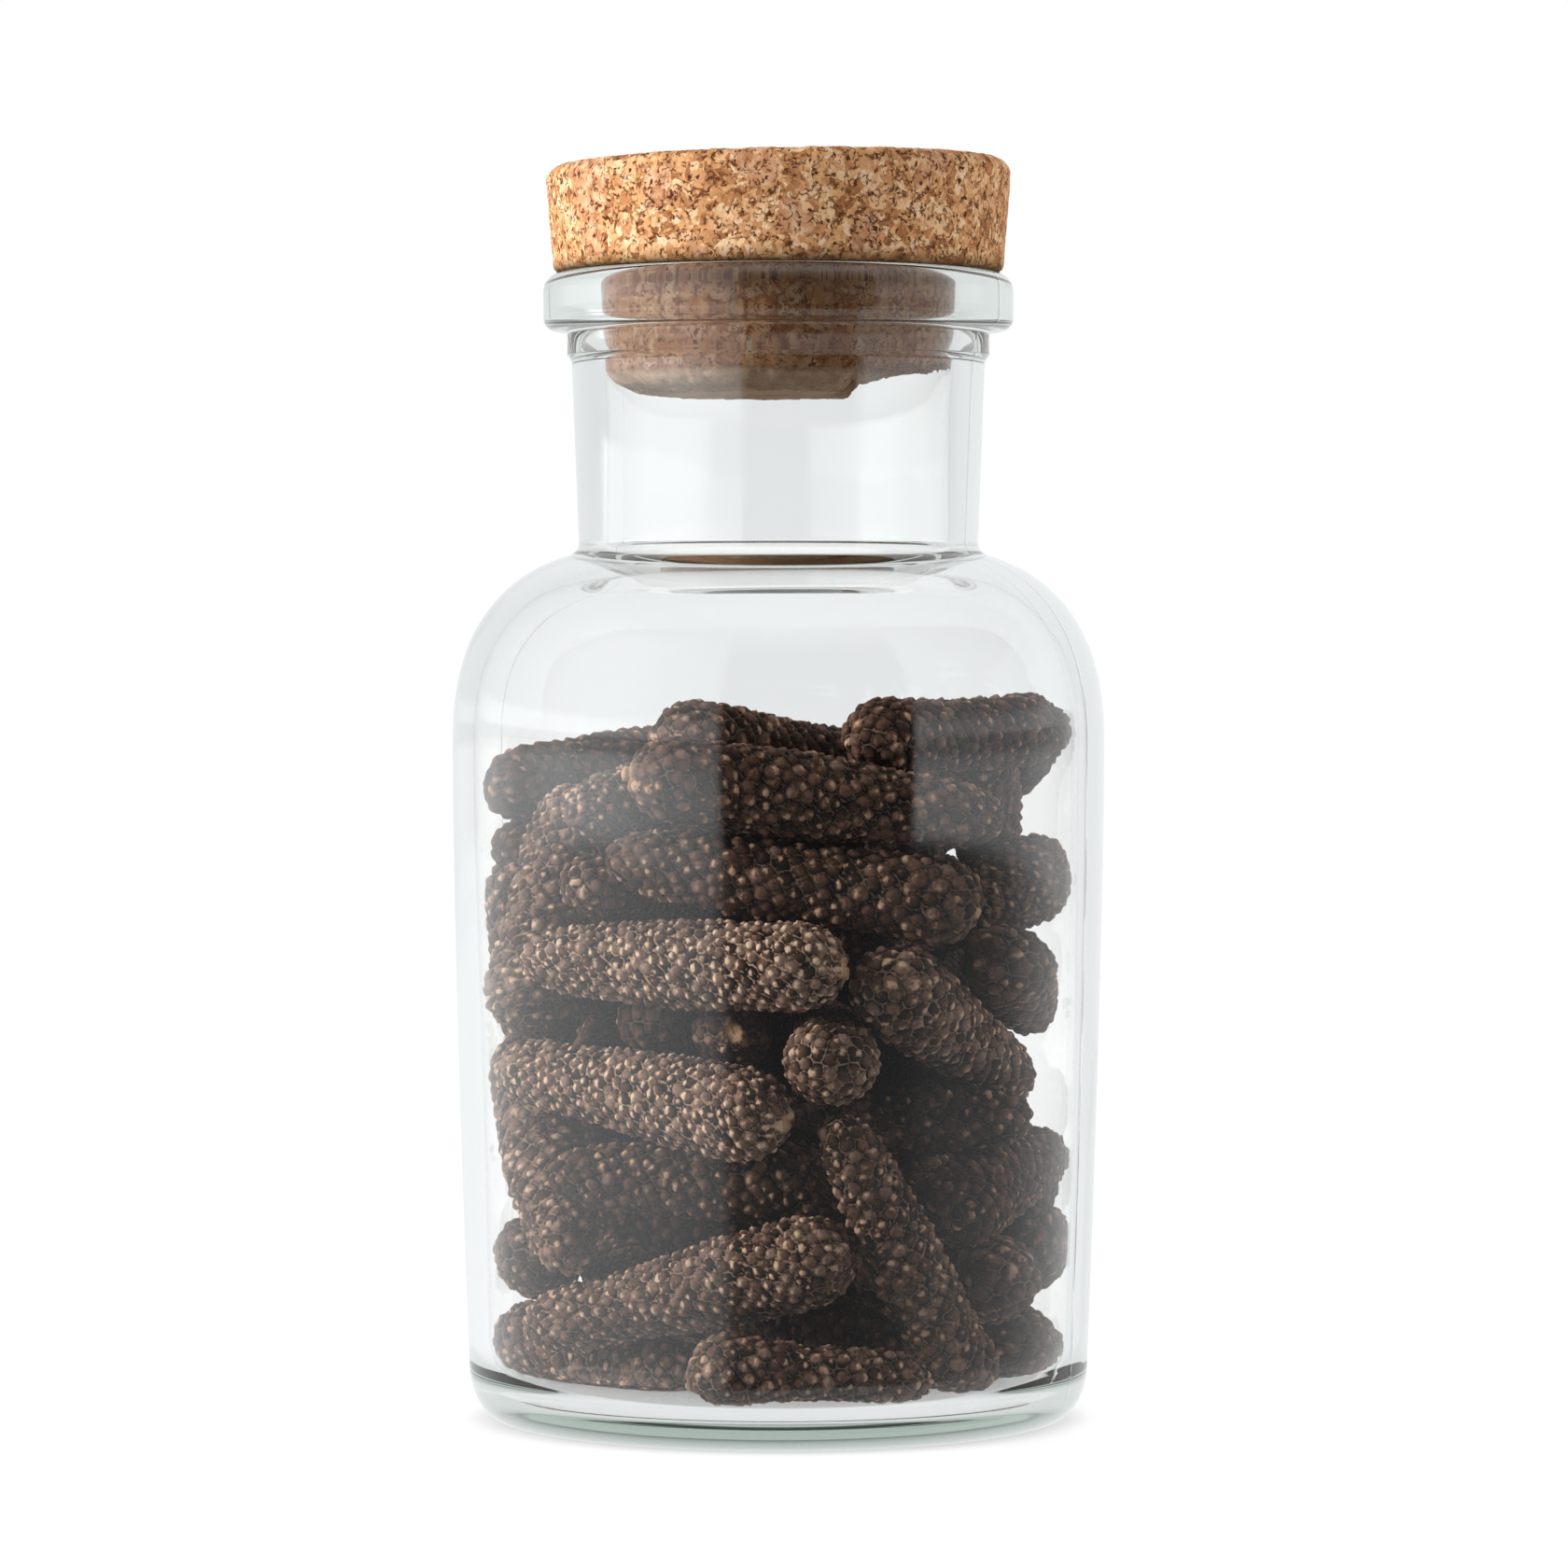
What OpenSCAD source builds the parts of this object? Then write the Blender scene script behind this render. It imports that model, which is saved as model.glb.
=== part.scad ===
// Glass spice jar with a one-piece cork stopper, filled with dried long-pepper pods.
// Millimetres, +Z up, origin on the table under the middle of the jar's base.

/* [Glass jar] */
// Height of the glass, from the table to the flat top of its rim
jar_h = 112.2; // [106:0.1:120]
// Widest outer diameter of the body, where the shoulder starts
body_d = 64; // [61:0.1:70]
// Outer diameter of the body just above the rounded heel
foot_d = 60.8; // [58.5:0.1:61]
// Thickness of the glass in the body and the shoulder
wall = 2.1; // [1.6:0.1:2.6]
// Height of the inner floor above the table
floor_t = 3; // [2.4:0.1:4]
// Height of the rounded heel
heel_h = 5.5; // [4:0.1:7]
// Width of the rounded heel, seen from below
heel_w = 3.3; // [2.6:0.1:4.5]
// Radius of the inner corner between the floor and the wall
inner_heel = 3.4; // [2.5:0.1:3.8]
// Width of the flat ring that the jar stands on
foot_ring_w = 1.8; // [1.2:0.1:3]
// Height of the hollow under the base
punt_h = 1; // [0.5:0.1:1.4]

/* [Shoulder and neck] */
// Height at which the shoulder starts to close in
shoulder_z = 65.5; // [62:0.1:70]
// Height of the shoulder curve
shoulder_h = 20; // [18:0.1:22]
// Width of the shoulder curve, from the body's side inwards
shoulder_w = 19.5; // [17:0.1:21]
// Outer diameter at the foot of the neck
neck_foot_d = 39.2; // [37.5:0.1:40]
// Outer diameter at the top of the neck, under the collar
neck_top_d = 40.5; // [39:0.1:41]
// Radius of the hollow blend between the neck and the shoulder
neck_blend = 1.6; // [0.8:0.1:3]
// Inner diameter of the neck below the mouth
bore_d = 33.6; // [31:0.1:34.5]

/* [Rim] */
// Outer diameter of the rim
rim_d = 46.1; // [44:0.1:49]
// Height of the rim
rim_h = 5.6; // [4.5:0.1:7]
// Radius of the rim's rounded upper edge
rim_round = 1.8; // [1:0.1:2]
// Radius of the rim's rounded lower edge
rim_under_round = 1.2; // [0.6:0.1:1.8]
// Outer diameter of the narrow collar below the rim
collar_d = 41.4; // [41.2:0.1:43]
// Height of the narrow collar below the rim
collar_h = 2.9; // [2:0.1:4]
// Inner diameter of the mouth at the top of the rim
mouth_d = 35.2; // [34.8:0.1:36]
// Depth over which the mouth narrows to the bore of the neck
mouth_h = 14; // [13:0.1:18]
// Radius of the mouth's rounded edge
mouth_round = 0.8; // [0.4:0.1:1.2]

/* [Cork stopper] */
// Height of the stopper's head, which rests on the rim
head_h = 10.8; // [8:0.1:14]
// Widest diameter of the head
head_d = 45.6; // [43:0.1:48]
// Diameter of the head at its underside
head_foot_d = 44.2; // [42:0.1:45.5]
// Radius of the head's upper edge
head_round = 1.5; // [0.8:0.1:2.5]
// Radius of the head's lower edge
head_under_round = 0.7; // [0.3:0.1:1.2]
// Length of the plug that goes into the mouth
plug_h = 12; // [9:0.1:12.5]
// Width of the slanted edge at the plug's lower end
plug_bevel_w = 1.8; // [0.8:0.1:3]
// Height of the slanted edge at the plug's lower end
plug_bevel_h = 1.6; // [0.8:0.1:3]
// Running clearance between the plug and the mouth, on each side
plug_gap = 0.08; // [0.02:0.01:0.1]

/* [Pepper pods] */
// Length of an ordinary pod
pod_l = 32; // [29:0.5:33]
// Diameter of an ordinary pod over its bumps, at its thick end
pod_d = 8.5; // [8:0.1:8.8]
// Diameter of an ordinary pod at its thin end
pod_tip_d = 6.3; // [5.6:0.1:7]
// Clearance that the pods keep from each other and from the glass
pod_gap = 0.25; // [0.2:0.05:0.4]

/* [Hidden] */
body_r = body_d / 2;
foot_r = foot_d / 2;
neck_foot_r = neck_foot_d / 2;
neck_top_r = neck_top_d / 2;
bore_r = bore_d / 2;
mouth_r = mouth_d / 2;
rim_r = rim_d / 2;
collar_r = collar_d / 2;
rim_z = jar_h - rim_h;
collar_z = rim_z - collar_h;

// Steps in which the glass outline's curves are drawn
curve_steps = 12;
arc_steps = 5;
// How full the body's taper, the shoulder's curve and the hollow under the base are
taper_power = 1.5;
shoulder_power = 2.5;
punt_power = 4;
$fn = 96;

// A quarter turn of an ellipse about c, from angle a0 to angle a1
function quarter(c, rx, ry, a0, a1) =
    [for (i = [0:arc_steps]) let (a = a0 + (a1 - a0) * i / arc_steps) c + [rx * cos(a), ry * sin(a)]];

// A smooth corner from p to q that bends towards m
function corner(p, m, q) =
    [for (i = [0:arc_steps]) let (t = i / arc_steps) (1 - t) * (1 - t) * p + 2 * t * (1 - t) * m + t * t * q];

// Outer radius of the body between the heel and the shoulder
function body_r_at(z) =
    body_r - (body_r - foot_r) * pow(max(0, (shoulder_z - z) / (shoulder_z - heel_h)), taper_power);

// Radius of the shoulder curve's middle, and the curve's height over that middle at radius r,
// for a curve drawn inset from the outer face
shoulder_mid_r = body_r - shoulder_w;
function shoulder_z_at(r, inset) =
    shoulder_z + (shoulder_h - inset)
    * pow(1 - pow((r - shoulder_mid_r) / (shoulder_w - inset), shoulder_power), 1 / shoulder_power);

// The shoulder curve from its start up to radius r_end. Its points crowd where it turns most.
function shoulder(r_end, inset) =
    let (reach = shoulder_w - inset, share_end = (r_end - shoulder_mid_r) / reach,
         a_end = acos(pow(share_end, shoulder_power / 2)))
    [for (i = [0:curve_steps]) let (a = a_end * i / curve_steps, r = shoulder_mid_r + reach * pow(cos(a), 2 / shoulder_power))
        [r, i == 0 ? shoulder_z : shoulder_z_at(r, inset)]];

// Inner radius of the mouth at a depth under the top of the rim
function mouth_r_at(depth) = mouth_r - (mouth_r - bore_r) * min(1, depth / mouth_h);

neck_foot_z = shoulder_z_at(neck_foot_r, 0);
bore_foot_z = shoulder_z_at(bore_r, wall);
ring_outer_r = foot_r - heel_w;
ring_inner_r = ring_outer_r - foot_ring_w;
inner_foot_z = floor_t + inner_heel;

// Half of the jar's section: up the outer face, over the rim and down the inner face
function jar_section() = concat(
    [for (i = [0:curve_steps]) let (r = ring_inner_r * i / curve_steps) [r, punt_h * (1 - pow(i / curve_steps, punt_power))]],
    quarter([ring_outer_r, heel_h], heel_w, heel_h, -90, 0),
    [for (i = [1:curve_steps - 1]) let (z = heel_h + (shoulder_z - heel_h) * i / curve_steps) [body_r_at(z), z]],
    shoulder(neck_foot_r + neck_blend, 0),
    corner([neck_foot_r + neck_blend, shoulder_z_at(neck_foot_r + neck_blend, 0)],
           [neck_foot_r, neck_foot_z], [neck_foot_r, neck_foot_z + neck_blend]),
    corner([neck_top_r, collar_z - (collar_r - neck_top_r)], [neck_top_r, collar_z], [collar_r, collar_z]),
    [[collar_r, rim_z]],
    quarter([rim_r - rim_under_round, rim_z + rim_under_round], rim_under_round, rim_under_round, -90, 0),
    quarter([rim_r - rim_round, jar_h - rim_round], rim_round, rim_round, 0, 90),
    corner([mouth_r + mouth_round, jar_h], [mouth_r, jar_h], [mouth_r_at(mouth_round), jar_h - mouth_round]),
    [[bore_r, jar_h - mouth_h]],
    corner([bore_r, bore_foot_z + neck_blend], [bore_r, bore_foot_z],
           [bore_r + neck_blend, shoulder_z_at(bore_r + neck_blend, wall)]),
    [for (i = [curve_steps:-1:0]) shoulder(bore_r + neck_blend, wall)[i]],
    [for (i = [curve_steps - 1:-1:0])
        let (z = inner_foot_z + (shoulder_z - inner_foot_z) * i / curve_steps) [body_r_at(z) - wall, z]],
    quarter([body_r_at(inner_foot_z) - wall - inner_heel, inner_foot_z], inner_heel, inner_heel, 0, -90),
    [[0, floor_t]]);

module jar() {
    color([0.86, 0.93, 0.9, 0.35]) rotate_extrude() polygon(jar_section());
}

// Half of the stopper's section: a head with soft edges and a plug that follows the mouth's taper
head_r = head_d / 2;
head_foot_r = head_foot_d / 2;
plug_side_h = plug_h - plug_bevel_h;
function stopper_section() = concat(
    [[0, jar_h - plug_h], [mouth_r_at(plug_side_h) - plug_gap - plug_bevel_w, jar_h - plug_h],
     [mouth_r_at(plug_side_h) - plug_gap, jar_h - plug_side_h], [mouth_r_at(0) - plug_gap, jar_h]],
    quarter([head_foot_r - head_under_round, jar_h + head_under_round], head_under_round, head_under_round, -90, 0),
    quarter([head_r - head_round, jar_h + head_h - head_round], head_round, head_round, 0, 90),
    [[0, jar_h + head_h]]);

module stopper() {
    color([0.72, 0.52, 0.34]) rotate_extrude() polygon(stopper_section());
}

// Inner radius of the glass at height z, in the body and in the shoulder
function inner_r_at(z) =
    z < shoulder_z ? body_r_at(z) - wall
    : shoulder_mid_r + (shoulder_w - wall)
        * pow(max(0, 1 - pow((z - shoulder_z) / (shoulder_h - wall), shoulder_power)), 1 / shoulder_power);

// The pods lie as they were poured. Each row is one pod's place before the heap settles: its place
// across the jar and in its depth, as shares of the inner radius, its height as a share of the
// heap's, its turn seen from above and its tilt in degrees, and its length and thickness as shares
// of an ordinary pod's. The thin end is the one that the turn points to. These pods lie in front.
front_shares = [
    [-0.66, -0.36, 0.06, -62, 0, 0.8, 1],
    [0.12, -0.78, 0.055, 5, 0, 0.7, 0.9],
    [0.44, -0.68, 0.235, 214, 62, 1, 0.95],
    [0.74, 0.08, 0.06, 94, 0, 0.8, 1],
    [-0.07, -0.44, 0.145, 177, -3, 0.88, 1.1],
    [0.68, -0.14, 0.18, 80, -5, 0.78, 1],
    [-0.37, -0.66, 0.23, 153, -21, 1.05, 1.05],
    [-0.74, 0.06, 0.2, 88, 0, 0.8, 0.95],
    [-0.74, -0.34, 0.34, -60, -62, 0.9, 1],
    [0.6, -0.12, 0.27, 62, 0, 0.85, 0.95],
    [-0.28, -0.64, 0.385, 164, -8, 0.9, 1],
    [0.66, -0.28, 0.37, 45, -10, 0.8, 1],
    [0.3, -0.45, 0.44, 0, 6, 1.05, 0.95],
    [-0.48, -0.6, 0.495, 155, 9, 1, 1.08],
    [0.14, -0.5, 0.545, 86, -4, 0.85, 1.05],
    [0.56, -0.56, 0.585, 42, -19, 0.85, 1.05],
    [-0.4, -0.2, 0.58, 84, 0, 0.85, 0.85],
    [-0.14, -0.2, 0.58, 95, 0, 0.85, 0.9],
    [-0.86, -0.04, 0.62, -88, 60, 0.85, 1],
    [0.78, -0.12, 0.66, 75, 5, 0.85, 1],
    [-0.38, -0.66, 0.665, 160, -14, 1, 1.08],
    [-0.8, -0.22, 0.745, 60, 55, 0.78, 1.05],
    [-0.46, -0.22, 0.75, 80, 0, 0.85, 0.8],
    [0.69, -0.26, 0.74, 214, -36, 1, 1.05],
    [0.0, -0.68, 0.79, 178, 8, 1.1, 1.05],
    [0.12, -0.66, 0.86, 3, -10, 1.1, 1.05],
    [0.56, -0.16, 0.87, 74, 4, 0.8, 0.95],
    [-0.34, -0.22, 0.915, 192, -18, 0.85, 1],
    [0.06, -0.3, 0.95, 4, 0, 0.9, 0.95],
    [0.62, -0.28, 0.93, 8, -10, 0.8, 0.95],
    [0.86, 0.1, 0.8, 88, -25, 0.75, 1],
];

// The pods at the back lie in half rings against the wall, and a few more lie in the middle. The
// golden angle gives each one its own turn and tilt, within a spread, and its own length.
back_count = 24;
middle_count = 4;
ring_count = 3;
golden_angle = 137.5;
turn_spread = 50;
tilt_spread = 24;
tilt_pace = 1.7;
back_place_share = 0.74;
back_top_share = 0.94;
middle_place_share = 0.2;
middle_depth_share = 0.1;
level_share = 0.7;
length_shares = [0.85, 1.05];
length_pace = 0.37;
thickness_shares = [0.95, 1.05];
thickness_pace = 0.61;

// The kth value in a spread about zero, and the kth between two limits
function scattered(k, spread) = (k * golden_angle) % spread - spread / 2;
function varied(k, pace, limits) = limits[0] + (pace * k) % (limits[1] - limits[0]);

// A row for pod k of n, at angle a in plan and at a share of the inner radius
function poured(k, n, a, place_share, depth_share, top_share, turn) =
    [place_share * cos(a), depth_share + place_share * sin(a), top_share * (k + 0.5) / n, turn,
     level_share * scattered(tilt_pace * k, tilt_spread), varied(k, length_pace, length_shares),
     varied(k, thickness_pace, thickness_shares)];

back_shares = [for (k = [0:back_count - 1]) let (a = 180 * (k % ring_count + 0.5) / ring_count)
    poured(k, back_count, a, back_place_share, 0, back_top_share, a + 90 + scattered(k, turn_spread))];
middle_shares = [for (k = [0:middle_count - 1])
    poured(k, middle_count, k * golden_angle, middle_place_share, middle_depth_share, 1, k * golden_angle)];
heap_shares = concat(front_shares, back_shares, middle_shares);

// The height that the pods fill follows from their volume, and from how closely they lie
packing_share = 0.561;
heap_h = len(heap_shares) * pow(pod_d, 2) / 4 * pod_l / (packing_share * pow(body_r - wall, 2));

// A pod is [middle, axis, half length between its end balls, thick radius, thin radius, square of
// its radius of gyration, how freely it moves]. The front pods keep closer to their places.
front_freedom = 0.3;
function laid(row, freedom) =
    let (turn = row[3], tilt = row[4], r = pod_d / 2 * row[6], tip_r = pod_tip_d / 2 * row[6],
         h = (pod_l * row[5] - r - tip_r) / 2)
    [[row[0] * (body_r - wall), row[1] * (body_r - wall), floor_t + heap_h * row[2]],
     [cos(tilt) * cos(turn), cos(tilt) * sin(turn), sin(tilt)], h, r, tip_r, h * h / 3 + r * r / 4, freedom];

// How much a pod's radius shrinks along its axis
function slope(p) = (p[3] - p[4]) / (2 * p[2]);

// Radius of pod p at a distance s along its axis from its middle
function radius_at(p, s) = (p[3] + p[4]) / 2 - slope(p) * s;
function within(x, limit) = max(-limit, min(limit, x));

// Distances along the axes of two pods to where their tapered sides come closest
parallel = 0.001;
function closest(p, q) =
    let (w = p[0] - q[0], b = p[1] * q[1], apart = (p[3] + p[4] + q[3] + q[4]) / 2,
         d = p[1] * w + slope(p) * apart, e = q[1] * w - slope(q) * apart,
         s = within((b * e - d) / max(1 - b * b, parallel), p[2]), t = within(b * s + e, q[2]))
    [within(b * t - d, p[2]), t];

// Each pair of pods that is too close, with the push that parts them and where it acts
push_gain = 1.5;
function contacts(pods) =
    [for (i = [0:len(pods) - 2]) for (j = [i + 1:len(pods) - 1])
        let (p = pods[i], q = pods[j], w = p[0] - q[0], reach = p[2] + q[2] + p[3] + q[3] + pod_gap)
        if (w * w < reach * reach)
        let (st = closest(p, q), g = w + st[0] * p[1] - st[1] * q[1],
             need = radius_at(p, st[0]) + radius_at(q, st[1]) + pod_gap)
        if (g * g < need * need)
        let (give = p[6] * (1 + pow(st[0], 2) / p[5]) + q[6] * (1 + pow(st[1], 2) / q[5]),
             push = g / norm(g) * push_gain * (need - norm(g)) / give)
        [i, j, push, st[0], st[1]]];

// The pushes that keep a pod's two ends inside the wall and above the floor
function wall_pushes(p) =
    [for (s = [-p[2], p[2]])
        let (end = p[0] + s * p[1], r = radius_at(p, s), q = norm([end[0], end[1]]),
             side = max(0, q + pod_gap + r - inner_r_at(end[2] + r / 2)),
             under = max(0, floor_t + pod_gap + r - end[2]), give = 1 + s * s / p[5])
        [[-end[0] / q * side, -end[1] / q * side, under] / give, s]];

function total(vectors) = len(vectors) == 0 ? [0, 0, 0] : [for (v = vectors) 1] * vectors;

// A pod moved and turned by its pushes, and lowered by sink
function moved(p, pushes, sink) =
    let (held = wall_pushes(p),
         shift = p[6] * total([for (m = pushes) m[0]]) + total([for (m = held) m[0]]) - [0, 0, sink],
         spin = (p[6] * total([for (m = pushes) m[0] * m[1]]) + total([for (m = held) m[0] * m[1]])) / p[5],
         axis = p[1] + spin)
    [p[0] + shift, axis / norm(axis), p[2], p[3], p[4], p[5], p[6]];

// One nudge of the whole heap. The pods sink for the first half of the nudges and then only part.
nudges = 120;
front_sink_share = 0.006;
back_sink_share = 0.012;
function nudged(pods, sinking) =
    let (pairs = contacts(pods))
    [for (i = [0:len(pods) - 1]) moved(pods[i],
        [for (m = pairs) if (m[0] == i || m[1] == i) m[0] == i ? [m[2], m[3]] : [-m[2], m[4]]],
        sinking ? pod_d * (pods[i][6] < 1 ? front_sink_share : back_sink_share) : 0)];
function settled(pods, k) = k == nudges ? pods : settled(nudged(pods, k < nudges / 2), k + 1);

outer_count = len(front_shares) + back_count;
heap = settled([for (i = [0:len(heap_shares) - 1])
    laid(heap_shares[i], i < len(front_shares) ? front_freedom : 1)], 0);

// Half of a pod's section: two rounded ends joined by a straight taper
function pod_section(p) = concat(
    quarter([0, -p[2]], p[3], p[3], -90, 0), quarter([0, p[2]], p[4], p[4], 0, 90));

module pepper_pod(p) {
    tilt = asin(p[1][2]);
    turn = atan2(p[1][1], p[1][0]);
    color([0.25, 0.18, 0.14])
        translate(p[0]) rotate([0, -tilt, turn]) rotate([0, 90, 0]) rotate_extrude() polygon(pod_section(p));
}

module inner_pepper_pods() {
    for (i = [outer_count:len(heap) - 1]) pepper_pod(heap[i]);
}

function pod_name(i) = str("pepper_pod_", i < 9 ? "0" : "", i + 1);

jar();
stopper();
for (i = [0:outer_count - 1]) pepper_pod(heap[i]);
inner_pepper_pods();
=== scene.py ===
# %% [markdown]
# # A spice jar with a cork stopper
# The object is a clear glass jar, closed by one piece of pressed cork and filled with dried
# long-pepper pods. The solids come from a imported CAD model, which stays the frame: every visible
# piece below is worked out where its solid stands, so nothing has to be fitted by eye.

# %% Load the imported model
import math
import bpy
import numpy as np
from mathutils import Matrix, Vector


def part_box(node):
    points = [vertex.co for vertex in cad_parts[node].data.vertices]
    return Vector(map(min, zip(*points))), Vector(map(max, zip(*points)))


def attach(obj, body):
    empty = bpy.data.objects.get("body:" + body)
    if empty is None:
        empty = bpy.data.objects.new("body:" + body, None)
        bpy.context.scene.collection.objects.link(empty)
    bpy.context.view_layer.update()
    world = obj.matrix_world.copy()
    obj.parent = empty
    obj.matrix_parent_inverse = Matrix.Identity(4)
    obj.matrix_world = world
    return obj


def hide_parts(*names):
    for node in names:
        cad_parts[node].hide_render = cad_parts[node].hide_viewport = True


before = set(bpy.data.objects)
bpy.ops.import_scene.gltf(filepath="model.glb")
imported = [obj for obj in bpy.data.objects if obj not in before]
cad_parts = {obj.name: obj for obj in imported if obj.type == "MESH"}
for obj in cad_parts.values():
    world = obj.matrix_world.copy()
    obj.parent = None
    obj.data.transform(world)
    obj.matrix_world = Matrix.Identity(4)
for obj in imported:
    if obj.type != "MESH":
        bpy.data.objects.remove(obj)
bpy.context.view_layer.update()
MM = 0.001

# %% [markdown]
# ## The camera
# The photo was taken from about 0.6 m with a long lens, looking down by little more than a degree.
# Both show in the curves of the base and the lid: a lower camera would flatten them.

# %% Place the camera
CAMERA_AT = (0.55 * MM, -604 * MM, 76.9 * MM)
CAMERA_PITCH = 1.4
LENS = 141.15

camera_data = bpy.data.cameras.new("camera")
camera_data.lens = LENS
camera_data.clip_start = 0.01
camera = bpy.data.objects.new("camera", camera_data)
camera.location = CAMERA_AT
camera.rotation_euler = (math.radians(90 - CAMERA_PITCH), 0, 0)
bpy.context.scene.collection.objects.link(camera)
bpy.context.scene.camera = camera
print("camera looks down by", CAMERA_PITCH, "degrees")

# %% [markdown]
# ## One way to make every skin
# Glass, cork and pods are all round about an axis. Each is a stack of rings, closed by a point at
# either end, so one function that turns such a stack into a mesh serves them all.

# %% Turn rings into a closed mesh
def closed_skin(name, rings, first, last, **values):
    """A closed mesh. rings is an array of n rings of m points each, and first and last are the two
    end points. Ring i joins ring i + 1 in squares, and the end rings join their point in triangles.
    Each extra keyword is an attribute with one value for each ring point and each end point."""
    n, m, _ = rings.shape
    here = np.arange(m)
    after = (here + 1) % m
    row = (np.arange(n - 1) * m)[:, None]
    squares = np.stack([row + here, row + after, row + m + after, row + m + here], axis=-1)
    start = np.stack([np.full(m, n * m), after, here], axis=-1)
    end = np.stack([np.full(m, n * m + 1), (n - 1) * m + here, (n - 1) * m + after], axis=-1)
    corners = np.concatenate([squares.ravel(), start.ravel(), end.ravel()]).astype(np.int32)
    sizes = np.concatenate([np.full((n - 1) * m, 4), np.full(2 * m, 3)])
    starts = (np.cumsum(sizes) - sizes).astype(np.int32)
    points = np.concatenate([rings.reshape(-1, 3), [first], [last]]).astype(np.float32)

    mesh = bpy.data.meshes.new(name)
    mesh.vertices.add(len(points))
    mesh.vertices.foreach_set("co", points.ravel())
    mesh.loops.add(len(corners))
    mesh.loops.foreach_set("vertex_index", corners)
    mesh.polygons.add(len(sizes))
    mesh.polygons.foreach_set("loop_start", starts)
    mesh.polygons.foreach_set("use_smooth", np.ones(len(sizes), bool))
    for key, value in values.items():
        mesh.attributes.new(key, "FLOAT", "POINT").data.foreach_set("value", value.astype(np.float32))
    mesh.update(calc_edges=True)
    piece = bpy.data.objects.new(name, mesh)
    bpy.context.scene.collection.objects.link(piece)
    return piece


def revolve(outline, turns):
    """Rings of a solid of revolution: the point (r, z) of the outline at turn a is
    (r cos a, r sin a, z). Returns an array of rings."""
    r, z = outline[:, :1], outline[:, 1:]
    return np.stack([r * np.cos(turns), r * np.sin(turns), z + 0 * turns], axis=-1)

# %% [markdown]
# ## The jar's outline
# Half of the jar's section is drawn once: from the middle of the base outwards, up the outer face,
# over the rim and down the inner face. The curves follow the CAD solid's, with more points, because
# glass shows every corner twice: once as an edge and once as a kink in what lies behind it.

# %% Draw the jar's outline
JAR_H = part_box("jar")[1].z
BODY_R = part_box("jar")[1].x
FOOT_R = 30.4 * MM
WALL = 2.1 * MM
FLOOR = 3 * MM
HEEL_H = 5.5 * MM
HEEL_W = 3.3 * MM
INNER_HEEL = 3.4 * MM
FOOT_RING = 1.8 * MM
PUNT = 1 * MM
SHOULDER_Z = 65.5 * MM
SHOULDER_H = 20 * MM
SHOULDER_W = 19.5 * MM
NECK_FOOT_R = 19.6 * MM
NECK_TOP_R = 20.25 * MM
NECK_BLEND = 1.1 * MM
BORE_BLEND = 2.4 * MM
BORE_R = 16.8 * MM
MOUTH_R = 17.6 * MM
MOUTH_H = 14 * MM
MOUTH_ROUND = 0.8 * MM
MOUTH_LEAN = 0.05 * MM
RIM_R = 23.05 * MM
RIM_H = 5.6 * MM
RIM_ROUND = 1.8 * MM
RIM_UNDER = 1.2 * MM
COLLAR_R = 20.7 * MM
COLLAR_H = 2.9 * MM
TAPER_POWER = 1.5
SHOULDER_POWER = 2.5
PUNT_POWER = 4


def arc(centre, width, height, start, end, count=10):
    """Points of an ellipse: centre + (width cos a, height sin a), from angle start to end."""
    a = np.radians(np.linspace(start, end, count))
    return np.stack([centre[0] + width * np.cos(a), centre[1] + height * np.sin(a)], axis=1)


def bend(p, corner, q, count=9):
    """Points of a soft corner: (1 - t)(1 - t) p + 2 t (1 - t) corner + t t q, for t from 0 to 1."""
    t = np.linspace(0, 1, count)[:, None]
    return (1 - t) ** 2 * np.array(p) + 2 * t * (1 - t) * np.array(corner) + t ** 2 * np.array(q)


def body_radius(z):
    """Outer radius of the body: its widest less a share of the taper that grows downwards."""
    drop = np.clip((SHOULDER_Z - z) / (SHOULDER_Z - HEEL_H), 0, 1)
    return BODY_R - (BODY_R - FOOT_R) * drop ** TAPER_POWER


def shoulder_height(r, inset):
    """Height of the shoulder at radius r, for a superellipse drawn inset from the outer face."""
    across = (r - BODY_R + SHOULDER_W) / (SHOULDER_W - inset)
    rise = (1 - np.clip(across, 0, 1) ** SHOULDER_POWER) ** (1 / SHOULDER_POWER)
    return SHOULDER_Z + (SHOULDER_H - inset) * rise


def shoulder(r_end, inset, count=40):
    """Points up the shoulder to radius r_end, evenly spread in the superellipse's own angle."""
    reach = SHOULDER_W - inset
    share = (r_end - BODY_R + SHOULDER_W) / reach
    a = np.linspace(0, np.arccos(share ** (SHOULDER_POWER / 2)), count)
    r = BODY_R - SHOULDER_W + reach * np.cos(a) ** (2 / SHOULDER_POWER)
    return np.stack([r, shoulder_height(r, inset)], axis=1)


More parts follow.
